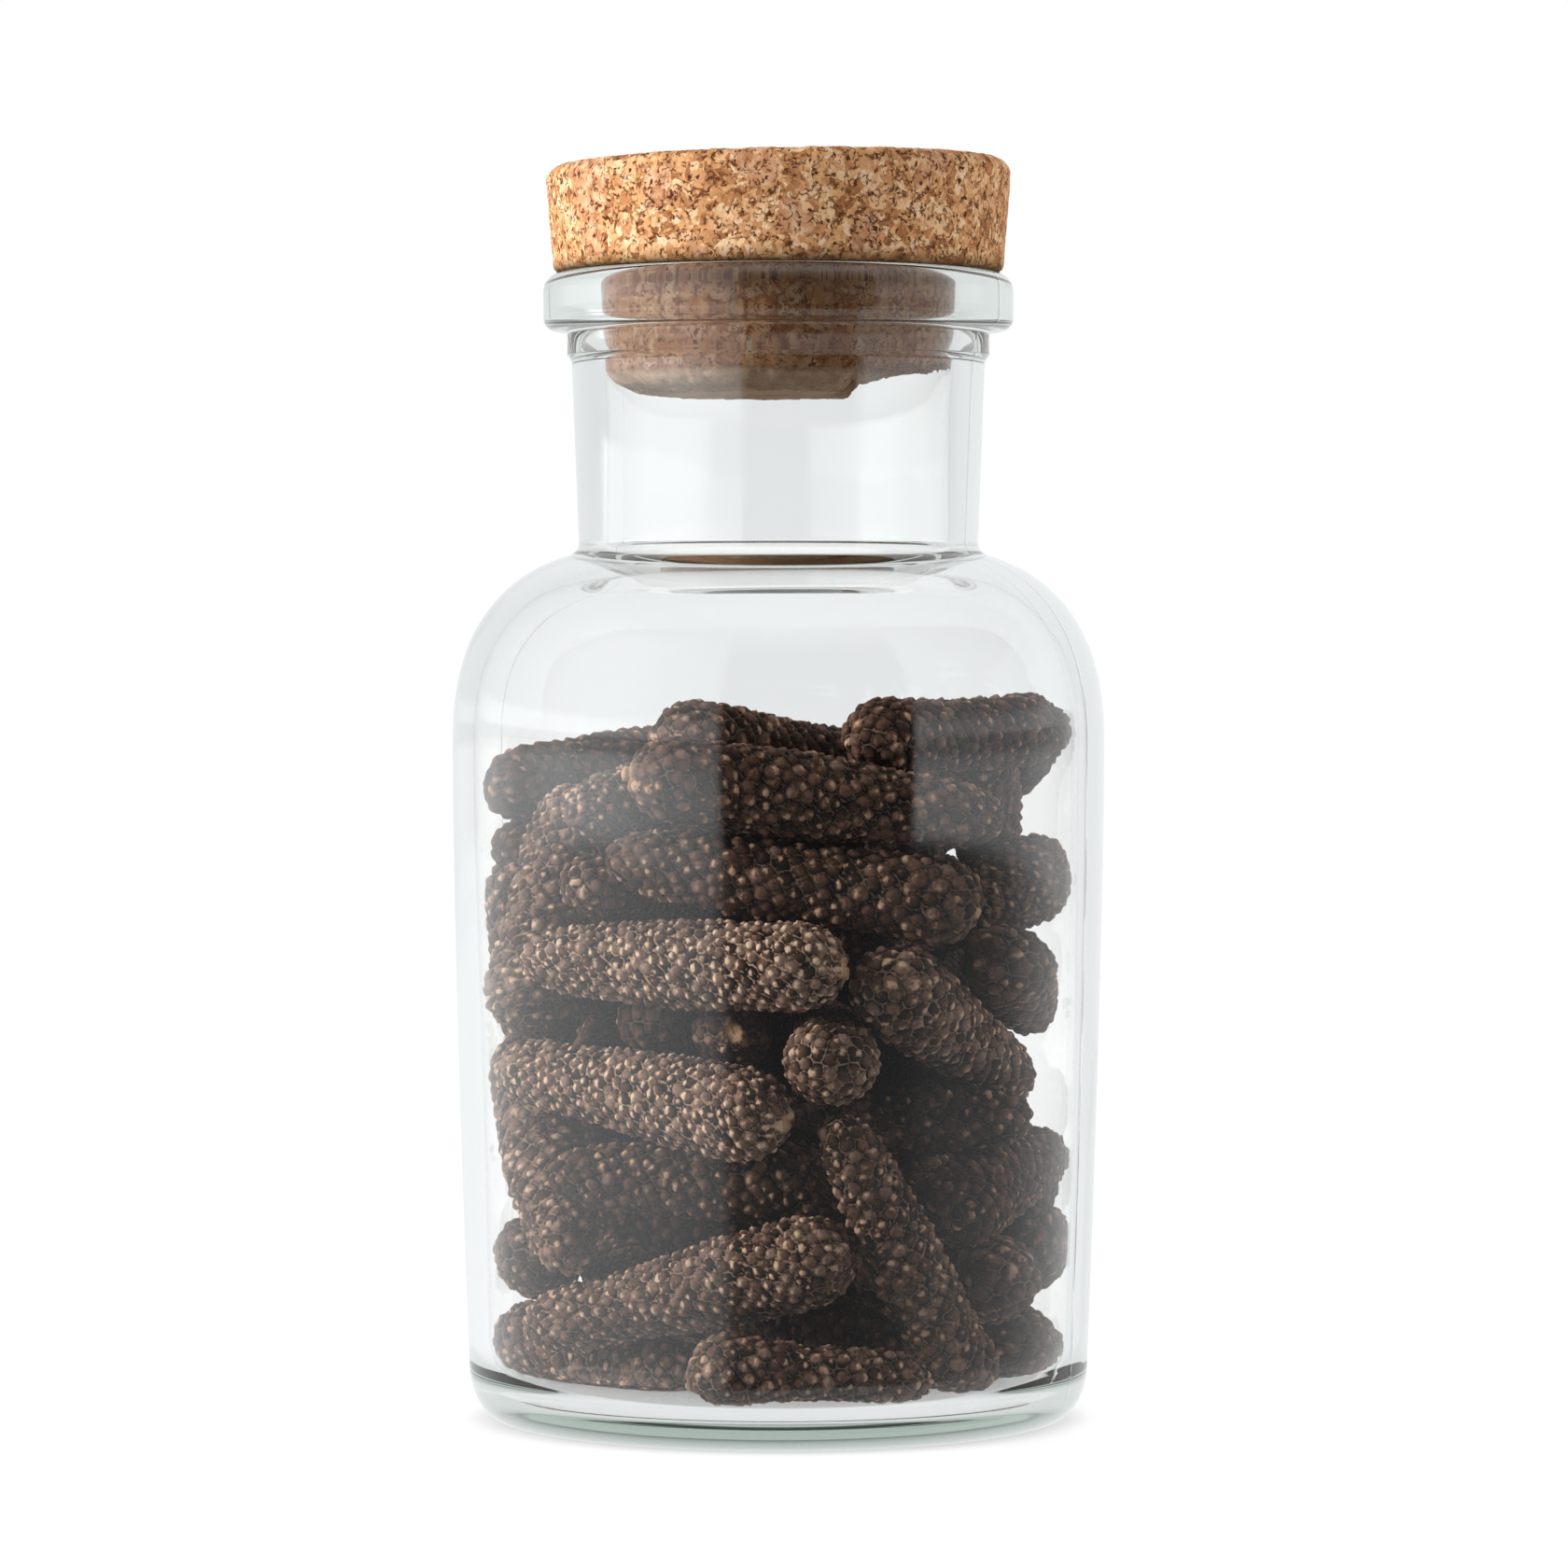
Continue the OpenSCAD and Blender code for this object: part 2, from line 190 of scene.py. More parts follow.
def jar_outline():
    """Half of the jar's section as points (r, z), and how many of them are on the outer face."""
    ring_out = FOOT_R - HEEL_W
    ring_in = ring_out - FOOT_RING
    r = ring_in * np.linspace(0.02, 1, 22)
    punt = np.stack([r, PUNT * (1 - (r / ring_in) ** PUNT_POWER)], axis=1)
    z = np.linspace(HEEL_H, SHOULDER_Z, 30)[1:-1]
    side = np.stack([body_radius(z), z], axis=1)
    foot_r = NECK_FOOT_R + NECK_BLEND
    foot_z = float(shoulder_height(NECK_FOOT_R, 0))
    rim_z = JAR_H - RIM_H
    collar_z = rim_z - COLLAR_H
    step = COLLAR_R - NECK_TOP_R
    outer = np.concatenate([
        punt, arc((ring_out, HEEL_H), HEEL_W, HEEL_H, -90, 0, 14), side, shoulder(foot_r, 0),
        bend((foot_r, float(shoulder_height(foot_r, 0))), (NECK_FOOT_R, foot_z),
             (NECK_FOOT_R, foot_z + NECK_BLEND)),
        bend((NECK_TOP_R, collar_z - step), (NECK_TOP_R, collar_z), (COLLAR_R, collar_z + step)),
        bend((COLLAR_R, rim_z - step), (COLLAR_R, rim_z), (COLLAR_R + step, rim_z), 5),
        arc((RIM_R - RIM_UNDER, rim_z + RIM_UNDER), RIM_UNDER, RIM_UNDER, -90, 0),
        arc((RIM_R - RIM_ROUND, JAR_H - RIM_ROUND), RIM_ROUND, RIM_ROUND, 0, 90)])
    bore_z = float(shoulder_height(BORE_R, WALL))
    bore_r = BORE_R + BORE_BLEND
    bore_foot_z = float(shoulder_height(bore_r, WALL))
    inner_z = FLOOR + INNER_HEEL
    z = np.linspace(SHOULDER_Z, inner_z, 30)[1:-1]
    floor_r = float(body_radius(inner_z)) - WALL - INNER_HEEL
    inner = np.concatenate([
        bend((MOUTH_R + MOUTH_ROUND, JAR_H), (MOUTH_R, JAR_H), (MOUTH_R - MOUTH_LEAN, JAR_H - MOUTH_ROUND)),
        [[BORE_R, JAR_H - MOUTH_H]],
        bend((BORE_R, bore_z + BORE_BLEND), (BORE_R, bore_z), (bore_r, bore_foot_z)),
        shoulder(bore_r, WALL)[::-1], np.stack([body_radius(z) - WALL, z], axis=1),
        arc((floor_r, inner_z), INNER_HEEL, INNER_HEEL, 0, -90, 14),
        np.stack([floor_r * np.linspace(0.95, 0.02, 18), np.full(18, FLOOR)], axis=1)])
    keep = np.ones(len(outer) + len(inner), bool)
    outline = np.concatenate([outer, inner])
    keep[1:] = np.linalg.norm(np.diff(outline, axis=0), axis=1) > 1e-6
    return outline[keep], int(keep[:len(outer)].sum())


outline, outer_count = jar_outline()
print("outline points:", len(outline), "of them outside:", outer_count)

# %% [markdown]
# ## The glass
# Moulded glass isn't perfectly even. Its outside takes the mould's shape, with a fine seam where the
# two halves met, and its inside was blown, so the wall is a little thicker here than there, and low
# folds lie around the foot of the neck. All this is far smaller than the wall, yet it is what makes
# reflections waver. It could be a bump in the material, but glass bends light by its real shape, so
# it is made in the mesh.

# %% Build the glass
SEAM_TURN = -22
SEAM_HEIGHT = 0.04 * MM
SEAM_WIDTH = 0.2 * MM
FOLD_H = 0.06 * MM
FOLD_Z = SHOULDER_Z + 14 * MM
SWELL_OUT = 0.03 * MM
SWELL_IN = 0.14 * MM


def jar_turns(count=232):
    """Turns of the ring points: even steps, with a few more close by each of the two mould seams."""
    even = np.linspace(0, 2 * math.pi, count, endpoint=False)
    seams = np.radians([SEAM_TURN, SEAM_TURN + 180]) % (2 * math.pi)
    near = (seams[:, None] + np.linspace(-0.012, 0.012, 7)).ravel()
    clear = np.abs(even[:, None] - seams).min(axis=1) > 0.018
    return np.sort(np.concatenate([even[clear], near]))


def waves(a, z, size):
    """A small swell around and along the glass: size times a sum of four slow sines."""
    return size * (np.sin(2 * a + z / (17 * MM)) + 0.7 * np.sin(3 * a - z / (11 * MM) + 1.3)
                   + 0.5 * np.sin(5 * a + z / (23 * MM) + 4.0) + 0.25 * np.sin(11 * a + z / (31 * MM))) / 2.4


def bell(value, width):
    """exp(-(value / width)^2), which is 1 where value is 0 and nearly 0 beyond two widths."""
    return np.exp(-(value / width) ** 2)


def folds(a, z):
    """Low folds in the glass around the foot of the neck: a sine of the height that drifts with the
    turn a, strongest on one side and fading above and below."""
    patchy = 0.5 + 0.5 * np.sin(3 * a)
    return FOLD_H * np.sin(z / (0.9 * MM) + 0.7 * np.sin(2 * a + 1)) * patchy * bell(z - FOLD_Z, 5 * MM)


turns = jar_turns()
rings = revolve(outline, turns)
radius = outline[:, :1]
height = outline[:, 1:]
outside = (np.arange(len(outline)) < outer_count)[:, None]
blown = (~outside) & (height < JAR_H - 1.3 * MOUTH_H) & (height > 2 * FLOOR)
moulded = outside & (height > HEEL_H) & (height < JAR_H - RIM_H)
swell = waves(turns, height, SWELL_OUT) * moulded + waves(turns + 1, height, SWELL_IN) * blown
off_seam = np.abs((turns - math.radians(SEAM_TURN) + math.pi / 2) % math.pi - math.pi / 2) * radius
seam = SEAM_HEIGHT * bell(off_seam, SEAM_WIDTH) * (outside & (height > HEEL_H / 2))
rings[..., :2] *= (1 + (swell + seam) / radius)[..., None]
rings[..., 2] += folds(turns, height) * blown
glass = closed_skin("jar_glass", rings, (0, 0, outline[0, 1]), (0, 0, FLOOR))
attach(glass, "jar")
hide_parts("jar")
print("glass faces:", len(glass.data.polygons))

# %% [markdown]
# ## Small tools for materials
# A node tree is easier to read as formulas than as a list of boxes and wires. Each helper here adds
# a node, feeds it and hands back the node or what comes out, so a material reads almost like a sum.

# %% Make small tools for materials
def new_material(name):
    """An empty node material and its tree."""
    material = bpy.data.materials.new(name)
    material.use_nodes = True
    tree = material.node_tree
    tree.nodes.clear()
    return material, tree


def made(tree, kind, inputs=None, **settings):
    """A new node of that kind with its settings. Each input, called by its name or number, is wired
    up where a socket is given, and otherwise takes the given value as its own."""
    node = tree.nodes.new(kind)
    for key, value in settings.items():
        setattr(node, key, value)
    for key, given in (inputs or {}).items():
        if isinstance(given, bpy.types.NodeSocket):
            tree.links.new(given, node.inputs[key])
        else:
            node.inputs[key].default_value = given
    return node


def computed(tree, operation, *inputs, clamp=False):
    """The result of a math node. MULTIPLY_ADD is the first times the second plus the third."""
    values = dict(enumerate(inputs))
    return made(tree, "ShaderNodeMath", values, operation=operation, use_clamp=clamp).outputs[0]


def grey(value):
    """A grey with that linear value. 0 is black and 1 is white."""
    return (value, value, value, 1)


def srgb(red, green, blue):
    """A colour given as on a screen, 0 to 255, turned into the linear values that shaders take."""
    c = np.array([red, green, blue]) / 255
    return (*np.where(c <= 0.04045, c / 12.92, ((c + 0.055) / 1.055) ** 2.4), 1)


def ramp(tree, factor, stops, constant=False):
    """A colour ramp node fed by factor. stops is a list of (place, colour)."""
    node = made(tree, "ShaderNodeValToRGB", {0: factor})
    elements = node.color_ramp.elements
    while len(elements) < len(stops):
        elements.new(0.5)
    for element, (place, colour) in zip(elements, stops):
        element.position = place
        element.color = colour
    if constant:
        node.color_ramp.interpolation = "CONSTANT"
    return node.outputs[0]


def mask(tree, factor, stops, constant=False):
    """A ramp of greys fed by factor. stops is a list of (place, value)."""
    return ramp(tree, factor, [(at, grey(v)) for at, v in stops], constant)


def mixed(tree, factor, a, b):
    """Colour a where factor is 0 and b where it is 1. Each may be a socket or a plain colour."""
    return made(tree, "ShaderNodeMix", {0: factor, 6: a, 7: b}, data_type="RGBA").outputs[2]


def noise(tree, place, size, detail=2):
    """Soft noise whose blobs are about size across, read at place."""
    return made(tree, "ShaderNodeTexNoise", {"Vector": place, "Scale": 1 / size, "Detail": detail})


print("white on a screen is", [float(v) for v in srgb(255, 255, 255)])

# %% [markdown]
# ## Clear glass with a green heart
# Window and bottle glass holds a trace of iron, so it is colourless through a thin wall and grey-green
# where light runs a long way inside it, as in the heel. Absorption by depth does just that. Some rays
# pass straight through instead of being bent: those that only look for a lamp, light on its way from
# a pod or the cork, and light that was already mirrored inside the wall more than twice. The last
# would otherwise be cut off in the thick heel and leave it black.

# %% Make the glass material
GLASS_IOR = 1.51
GLASS_TINT = (0.858, 0.888, 0.868, 1)
GLASS_DENSITY = 105
DIFFUSE_LOSS = 0.27
MOST_MIRRORED = 2.5


def glass_material():
    """Clear glass: a transmitting surface over a volume that absorbs red most and green least. What
    passes straight through keeps 1 - loss - mirrored of its light, where mirrored is Fresnel's share
    for a ray that comes from outside or, with the inverse of the index, from inside."""
    material, tree = new_material("clear_glass")
    surface = made(tree, "ShaderNodeBsdfPrincipled", {
        "Base Color": grey(1), "Roughness": 0, "IOR": GLASS_IOR, "Transmission Weight": 1})
    depth = made(tree, "ShaderNodeVolumeAbsorption", {"Color": GLASS_TINT, "Density": GLASS_DENSITY})
    path = made(tree, "ShaderNodeLightPath").outputs
    trapped = computed(tree, "GREATER_THAN", path["Glossy Depth"], MOST_MIRRORED)
    scattered = path["Is Diffuse Ray"]
    trapped = computed(tree, "MAXIMUM", scattered, trapped)
    passing = computed(tree, "MAXIMUM", path["Is Shadow Ray"], trapped)
    inside = made(tree, "ShaderNodeNewGeometry").outputs["Backfacing"]
    index = computed(tree, "MULTIPLY_ADD", inside, 1 / GLASS_IOR - GLASS_IOR, GLASS_IOR)
    mirrored = made(tree, "ShaderNodeFresnel", {"IOR": index}).outputs[0]
    lost = computed(tree, "MULTIPLY_ADD", scattered, DIFFUSE_LOSS, mirrored, clamp=True)
    through = made(tree, "ShaderNodeBsdfTransparent", {"Color": computed(tree, "SUBTRACT", 1, lost)})
    mix = made(tree, "ShaderNodeMixShader", {0: passing, 1: surface.outputs[0], 2: through.outputs[0]})
    made(tree, "ShaderNodeOutputMaterial", {"Surface": mix.outputs[0], "Volume": depth.outputs[0]})
    return material


glass.data.materials.append(glass_material())
print("glass material:", glass.data.materials[0].name)

# %% [markdown]
# ## The cork stopper
# The stopper is turned from one block of pressed granules. Turning leaves a true outline: a wide head
# that lies on the rim, and a plug that tapers a little and is rounded off at its lower edge. So it is
# worked out as the jar is, from half of its section.

# %% Build the stopper
CORK_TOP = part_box("stopper")[1].z
HEAD_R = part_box("stopper")[1].x
HEAD_FOOT_R = 22.1 * MM
HEAD_ROUND = 1.5 * MM
HEAD_UNDER = 0.7 * MM
PLUG_H = 12 * MM
PLUG_FOOT_Z = JAR_H - PLUG_H
PLUG_R = MOUTH_R - 0.08 * MM
PLUG_FOOT_R = 16.92 * MM
BEVEL_W = 4 * MM
BEVEL_H = 2.2 * MM
POLE_R = 0.2 * MM
CORK_STEP = 0.32 * MM
CORK_COUNT = 360
seed = np.random.default_rng(7)


def spread_evenly(points, step):
    """The same line with points every step along it, so that small breaks have points to move."""
    along = np.concatenate([[0], np.cumsum(np.linalg.norm(np.diff(points, axis=0), axis=1))])
    at = np.linspace(0, along[-1], int(along[-1] / step))
    return np.stack([np.interp(at, along, points[:, i]) for i in range(2)], axis=1)


def stopper_outline():
    """Half of the stopper's section as points (r, z), from the plug's end to the top of the head."""
    foot = PLUG_FOOT_Z
    line = np.concatenate([
        [[POLE_R, foot], [PLUG_FOOT_R - BEVEL_W, foot]],
        bend((PLUG_FOOT_R - BEVEL_W, foot), (PLUG_FOOT_R - 0.8 * MM, foot + 0.5 * MM),
             (PLUG_FOOT_R, foot + BEVEL_H), 7),
        [[PLUG_R, JAR_H]],
        arc((HEAD_FOOT_R - HEAD_UNDER, JAR_H + HEAD_UNDER), HEAD_UNDER, HEAD_UNDER, -90, 0, 6),
        arc((HEAD_R - HEAD_ROUND, CORK_TOP - HEAD_ROUND), HEAD_ROUND, HEAD_ROUND, 0, 90, 9),
        [[POLE_R, CORK_TOP]]])
    return spread_evenly(line, CORK_STEP)


cork_line = stopper_outline()
cork_turns = np.linspace(0, 2 * math.pi, CORK_COUNT, endpoint=False)
cork_rings = revolve(cork_line, cork_turns)
print("stopper points:", cork_rings.shape[0] * cork_rings.shape[1])

# %% [markdown]
# ## Broken granules
# Cork granules break out of the skin. Sculpting each break would take long, so the skin is divided
# into cells, as the granules divide it, and each cell gets a random depth.

# %% Break out granules
GRANULE = 1.9 * MM
CRUMB = 0.8 * MM
FAR = 9.0


def granules(across, along, size):
    """Granules on a skin, from a grid of squares with one jittered centre each. Gives for each point
    a random number of its nearest centre and how far the next nearest is beyond it, in squares."""
    columns = int(round(across.max() / size))
    x, y = across / across.max() * columns, along / size
    rows = int(y.max()) + 3
    jitter = seed.uniform(0, 1, (3, rows, columns))
    column, row = np.floor(x).astype(int), np.floor(y).astype(int) + 1
    first, second = np.full(x.shape, FAR), np.full(x.shape, FAR)
    which = np.zeros(x.shape)
    for i in (-1, 0, 1):
        for j in (-1, 0, 1):
            cell = (row + j, (column + i) % columns)
            gap = np.hypot(column + i + jitter[0][cell] - x, row + j - 1 + jitter[1][cell] - y)
            second = np.where(gap < first, first, np.minimum(second, gap))
            which = np.where(gap < first, jitter[2][cell], which)
            first = np.minimum(first, gap)
    return which, second - first


def rising(value, start, width):
    """0 where value is below start, and from there rising evenly to 1 over width."""
    return np.clip((value - start) / width, 0, 1)


x, y, z = np.moveaxis(cork_rings, -1, 0)
r = cork_line[:, :1] + 0 * x
steps = np.hypot(*np.diff(cork_line, axis=0, prepend=cork_line[:1]).T)
along = np.cumsum(steps)[:, None] + 0 * x
across = cork_turns * 20 * MM + 0 * x
coarse, _ = granules(across, along, GRANULE)
fine, fine_edge = granules(across, along, CRUMB)
pitted = -0.10 * coarse ** 3 - 0.08 * fine ** 2 - 0.06 * (1 - rising(fine_edge, 0, 0.2))
pitted = MM * pitted * (0.3 + 0.7 * rising(r, 0, 12 * MM))
outward = np.gradient(cork_line, axis=0)[:, ::-1] * (1, -1)
outward /= np.linalg.norm(outward, axis=1)[:, None]
seat = (np.abs(cork_line[:, 1] - JAR_H) < 0.05 * MM)[:, None]
push = np.where(seat, 0, pitted)
print("deepest pit:", round(float(-push.min()) / MM, 2), "mm")

# %% [markdown]
# ## A torn edge
# The lower end of the plug has been pushed into the mouth many times, and on one side whole bits have
# been torn off. The same cells move the line where the tear starts, so that it jumps from granule to
# granule.

# %% Tear the plug's edge
TORN_FROM = 7 * MM
TORN_H = 2.3 * MM
SLANT = 0.42 * MM
SLANT_Z = JAR_H + 3 * MM

edge = bell(z - PLUG_FOOT_Z - 0.6 * MM, 1.1 * MM) * rising(r, 12 * MM, 3 * MM)
ragged = (1.6 * coarse + 0.8 * fine) * MM
torn = 0.65 * TORN_H * rising(x + ragged, TORN_FROM, 1.5 * MM)
torn = torn + 0.35 * TORN_H * rising(x + ragged, TORN_FROM + 2 * MM, 4 * MM)
torn = torn + (0.45 * coarse + 0.35 * fine) * rising(r, 11 * MM, 3 * MM) * MM
lifted = 0.96 * np.clip(torn - z + PLUG_FOOT_Z, 0, None)
slant = SLANT * (x / HEAD_R) * rising(z, SLANT_Z, CORK_TOP - SLANT_Z)
grown = 1 + (push * outward[:, :1] - 0.3 * edge * coarse * MM) / np.maximum(r, 1 * MM)
cork_rings = np.stack([x * grown, y * grown, z + push * outward[:, 1:] + lifted + slant], axis=-1)
cork = closed_skin("cork_stopper", cork_rings, cork_rings[0].mean(axis=0), cork_rings[-1].mean(axis=0))
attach(cork, "stopper")
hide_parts("stopper")
print("stopper faces:", len(cork.data.polygons), "tallest point:", round(cork_rings[..., 2].max() / MM, 2))

# %% [markdown]
# ## Fine grain, shared by cork and pods
# Both finishes are dry plant matter. Close up, neither is one flat colour: each has a fine mottling
# and a fine roughness of its surface. That is one effect with two sets of values, so it is one node
# group that both materials use.

# %% Build the shared grain group
def grain_group():
    """A group that mottles a colour: colour times (1 - amount + 2 amount noise), and gives the same
    noise as a height for bumps. It is soft noise on Object coordinates, in blobs about size across."""
    group = bpy.data.node_groups.new("dry_grain", "ShaderNodeTree")
    face = group.interface
    face.new_socket("Color", in_out="INPUT", socket_type="NodeSocketColor")
    for label, value in (("Size", 0.4 * MM), ("Amount", 0.2)):
        face.new_socket(label, in_out="INPUT", socket_type="NodeSocketFloat").default_value = value
    face.new_socket("Color", in_out="OUTPUT", socket_type="NodeSocketColor")
    face.new_socket("Height", in_out="OUTPUT", socket_type="NodeSocketFloat")
    given = group.nodes.new("NodeGroupInput").outputs
    place = made(group, "ShaderNodeTexCoord").outputs["Object"]
    scale = computed(group, "DIVIDE", 1, given["Size"])
    mottle = made(group, "ShaderNodeTexNoise", {"Vector": place, "Scale": scale, "Detail": 3}).outputs["Fac"]
    least = computed(group, "SUBTRACT", 1, given["Amount"])
    reach = computed(group, "MULTIPLY", given["Amount"], 2)
    share = computed(group, "MULTIPLY_ADD", mottle, reach, least)
    tint = made(group, "ShaderNodeVectorMath", {0: given["Color"], "Scale": share}, operation="SCALE")
    result = group.nodes.new("NodeGroupOutput").inputs
    group.links.new(tint.outputs[0], result["Color"])
    group.links.new(mottle, result["Height"])
    return group


def end_dry(tree, colour, size, amount, bump_strength, bump_height, roughness, gloss):
    """Ends a material with a dull surface. The shared grain of that size and amount mottles the
    colour, and its height feeds a bump."""
    inputs = {"Color": colour, "Size": size, "Amount": amount}
    grain = made(tree, "ShaderNodeGroup", inputs, node_tree=GRAIN)
    bump = made(tree, "ShaderNodeBump", {
        "Height": grain.outputs["Height"], "Strength": bump_strength, "Distance": bump_height})
    surface = made(tree, "ShaderNodeBsdfPrincipled", {
        "Base Color": grain.outputs["Color"], "Normal": bump.outputs[0], "Roughness": roughness,
        "Specular IOR Level": gloss})
    made(tree, "ShaderNodeOutputMaterial", {"Surface": surface.outputs[0]})


GRAIN = grain_group()
print("shared group:", GRAIN.name)

# %% [markdown]
# ## Pressed cork
# The block is pressed from granules of many sizes, from crumbs to pieces of a few millimetres, each
# with a tone of its own: tan, pinkish or pale, with dark bits of bark between. Cell patterns of three
# sizes give the granules, pushed about by noise so that no cell keeps straight sides. By its height,
# the cork gets painted shade on the head's lower edge, where it sits on the rim, and painted shade
# over the plug inside the neck. The plug's worn end is pale, and painted paler still, as light on
# that downward face.

# %% Make the cork material
CORK_TONES = [(0.1, srgb(116, 70, 42)), (0.22, srgb(176, 118, 76)), (0.4, srgb(216, 158, 108)),
              (0.55, srgb(232, 176, 124)), (0.72, srgb(245, 200, 152)), (0.9, srgb(253, 224, 190))]
FLAKE_TONES = [(0.35, srgb(196, 138, 98)), (0.5, srgb(222, 166, 124)), (0.65, srgb(240, 196, 158))]
PLUG_SHARE = PLUG_H / (CORK_TOP - PLUG_FOOT_Z)


def cells(tree, place, size):
    """A random number for each cell of a pattern whose cells are about size across."""
    pattern = made(tree, "ShaderNodeTexVoronoi", {"Vector": place, "Scale": 1 / size})
    return made(tree, "ShaderNodeSeparateColor", {0: pattern.outputs["Color"]}).outputs[0]


def spots(tree, place, size, detail, stops):
    """A mask from soft noise of that size. stops is a list of (noise value, mask value)."""
    return mask(tree, noise(tree, place, size, detail).outputs["Fac"], stops)


def warped(tree, place, size, amount):
    """The place, pushed about by a soft noise of that size by up to about half of amount."""
    inputs = {0: noise(tree, place, size).outputs["Color"], 1: (amount,) * 3, 2: place}
    return made(tree, "ShaderNodeVectorMath", inputs, operation="MULTIPLY_ADD").outputs[0]


def cork_material():
    """Granules of three sizes laid over one another, with dark gaps and specks between them, and
    bands by height, which goes from 0 at the plug's end to 1 at the top of the head. The first two
    bands are painted shade, and the pale band at the plug's end is partly painted light."""
    material, tree = new_material("pressed_cork")
    place = made(tree, "ShaderNodeTexCoord").outputs["Object"]
    bent = warped(tree, warped(tree, place, 2.4 * MM, 1.5 * MM), 0.5 * MM, 0.45 * MM)
    small, middling, large = (cells(tree, bent, size * MM) for size in (0.75, 1.4, 3.2))
    tone = mixed(tree, spots(tree, place, 1.1 * MM, 1, [(0.46, 0), (0.5, 1)]), small, middling)
    tone = mixed(tree, 0.35, tone, noise(tree, bent, 0.45 * MM, 3).outputs["Fac"])
    colour = ramp(tree, tone, CORK_TONES)
    flake = mask(tree, large, [(0, 0), (0.86, 1)], True)
    streaks = noise(tree, warped(tree, bent, 1 * MM, 1.5 * MM), 1.3 * MM, 3).outputs["Fac"]
    colour = mixed(tree, flake, colour, ramp(tree, streaks, FLAKE_TONES))
    gaps = spots(tree, bent, 0.9 * MM, 3, [(0.44, 0), (0.48, 1), (0.51, 1), (0.55, 0)])
    gaps = computed(tree, "MULTIPLY", gaps, spots(tree, place, 0.9 * MM, 2, [(0.44, 0), (0.56, 1)]))
    colour = mixed(tree, gaps, colour, srgb(112, 64, 36))
    specks = spots(tree, bent, 0.55 * MM, 2, [(0.33, 1), (0.41, 0)])
    colour = mixed(tree, specks, colour, srgb(86, 48, 28))
    height = made(tree, "ShaderNodeSeparateXYZ", {0: place}).outputs["Z"]
    level = computed(tree, "SUBTRACT", height, PLUG_FOOT_Z)
    level = computed(tree, "DIVIDE", level, CORK_TOP - PLUG_FOOT_Z)
    # Painted shade: a dark olive band on the head's lower edge, where the head sits on the rim.
    bands = [([(PLUG_SHARE - 0.01, 0), (PLUG_SHARE, 0.8), (PLUG_SHARE + 0.07, 0)], srgb(92, 68, 38)),
             # Painted shade: the plug inside the neck is darkened, as if less light reached it.
             ([(PLUG_SHARE - 0.04, 0.62), (PLUG_SHARE, 0)], srgb(112, 62, 30)),
             # A pale worn end, painted paler still as light on a face that looks down.
             ([(0.07, 0.5), (0.1, 0)], srgb(255, 222, 190))]
    for stops, shade in bands:
        colour = mixed(tree, mask(tree, level, stops), colour, shade)
    end_dry(tree, colour, 0.22 * MM, 0.2, 0.5, 0.12 * MM, 0.85, 0.2)
    return material


cork.data.materials.append(cork_material())
print("cork material:", cork.data.materials[0].name)

# %% [markdown]
# ## Where the pods lie
# Each pod's solid is a plain tapered shape, so its mesh says everything about it: the middle, the
# direction, the length and the thickness. The direction is the one in which its points spread most.

# %% Read the pods off the solids
TIP_SHARE = 6.3 / 8.5


def solids_of(node):
    """The points of each loose solid of a CAD node. Points in one place get one number, and each
    number then takes the smallest number that it is joined to, until nothing changes."""
    mesh = node.data
    points = np.empty(len(mesh.vertices) * 3)
    mesh.vertices.foreach_get("co", points)
    points = points.reshape(-1, 3)
    edges = np.empty(len(mesh.edges) * 2, int)
    mesh.edges.foreach_get("vertices", edges)
    _, same = np.unique(np.round(points, 6), axis=0, return_inverse=True)
    same = same.ravel()
    a, b = same[edges.reshape(-1, 2)].T
    label = np.arange(same.max() + 1)
    settled = False
    while not settled:
        least = np.minimum(label[a], label[b])
        joined = label.copy()
        np.minimum.at(joined, a, least)
        np.minimum.at(joined, b, least)
        settled = bool((joined == label).all())
        label = joined
    return [points[label[same] == k] for k in np.unique(label)]


def pod_pose(points):
    """Middle, direction towards the thin end, length and thick radius of a tapered solid."""
    mean = points.mean(axis=0)
    direction = np.linalg.svd(points - mean, full_matrices=False)[2][0]
    along = (points - mean) @ direction
    radial = np.linalg.norm(points - mean - along[:, None] * direction, axis=1)
    middle = (along.max() + along.min()) / 2
    thick = along[radial > 0.98 * radial.max()].mean()
    if thick > middle:
        direction, along, middle = -direction, -along, -middle
    return mean + middle * direction, direction, along.max() - along.min(), radial.max()


pod_names = sorted(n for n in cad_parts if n.startswith("pepper_pod"))
poses = {name: pod_pose(solids_of(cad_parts[name])[0]) for name in pod_names}
inner = [pod_pose(points) for points in solids_of(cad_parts["inner_pepper_pods"])]
lengths = [round(float(pose[2]) / MM, 1) for pose in poses.values()]
print("pods:", len(poses), "inner:", len(inner), "lengths from", min(lengths), "to", max(lengths), "mm")

# %% [markdown]
# ## A pod's spiral of berries
# A long-pepper pod is a spike of tiny berries grown together. New berries form one after another,
# each a golden angle further round, so they end up in neat crossing spirals. The same rule places
# them here: berry number k sits at turn k times the golden angle, where the skin's area from the
# stem end reaches k berries' worth.

# %% Shape one pod
GOLDEN = math.radians(137.508)
BERRY = 1.28 * MM
BERRY_HEIGHT = 0.55 * MM
BERRY_SHARE = 0.866
DOME_POWER = 0.6
JITTER = 0.12
WINDOW = 24
END_POWER = 2.3
THICK_END = 1.25
THIN_END = 1.9
STUB_R = 0.75 * MM
POINT_R = 0.08 * MM
SHAVE = 0.08 * MM
POD_GRIT = 0.022 * MM
POD_SWELL = 0.16 * MM
POD_WAVE = 0.14 * MM
POD_SUNK = 0.1 * MM


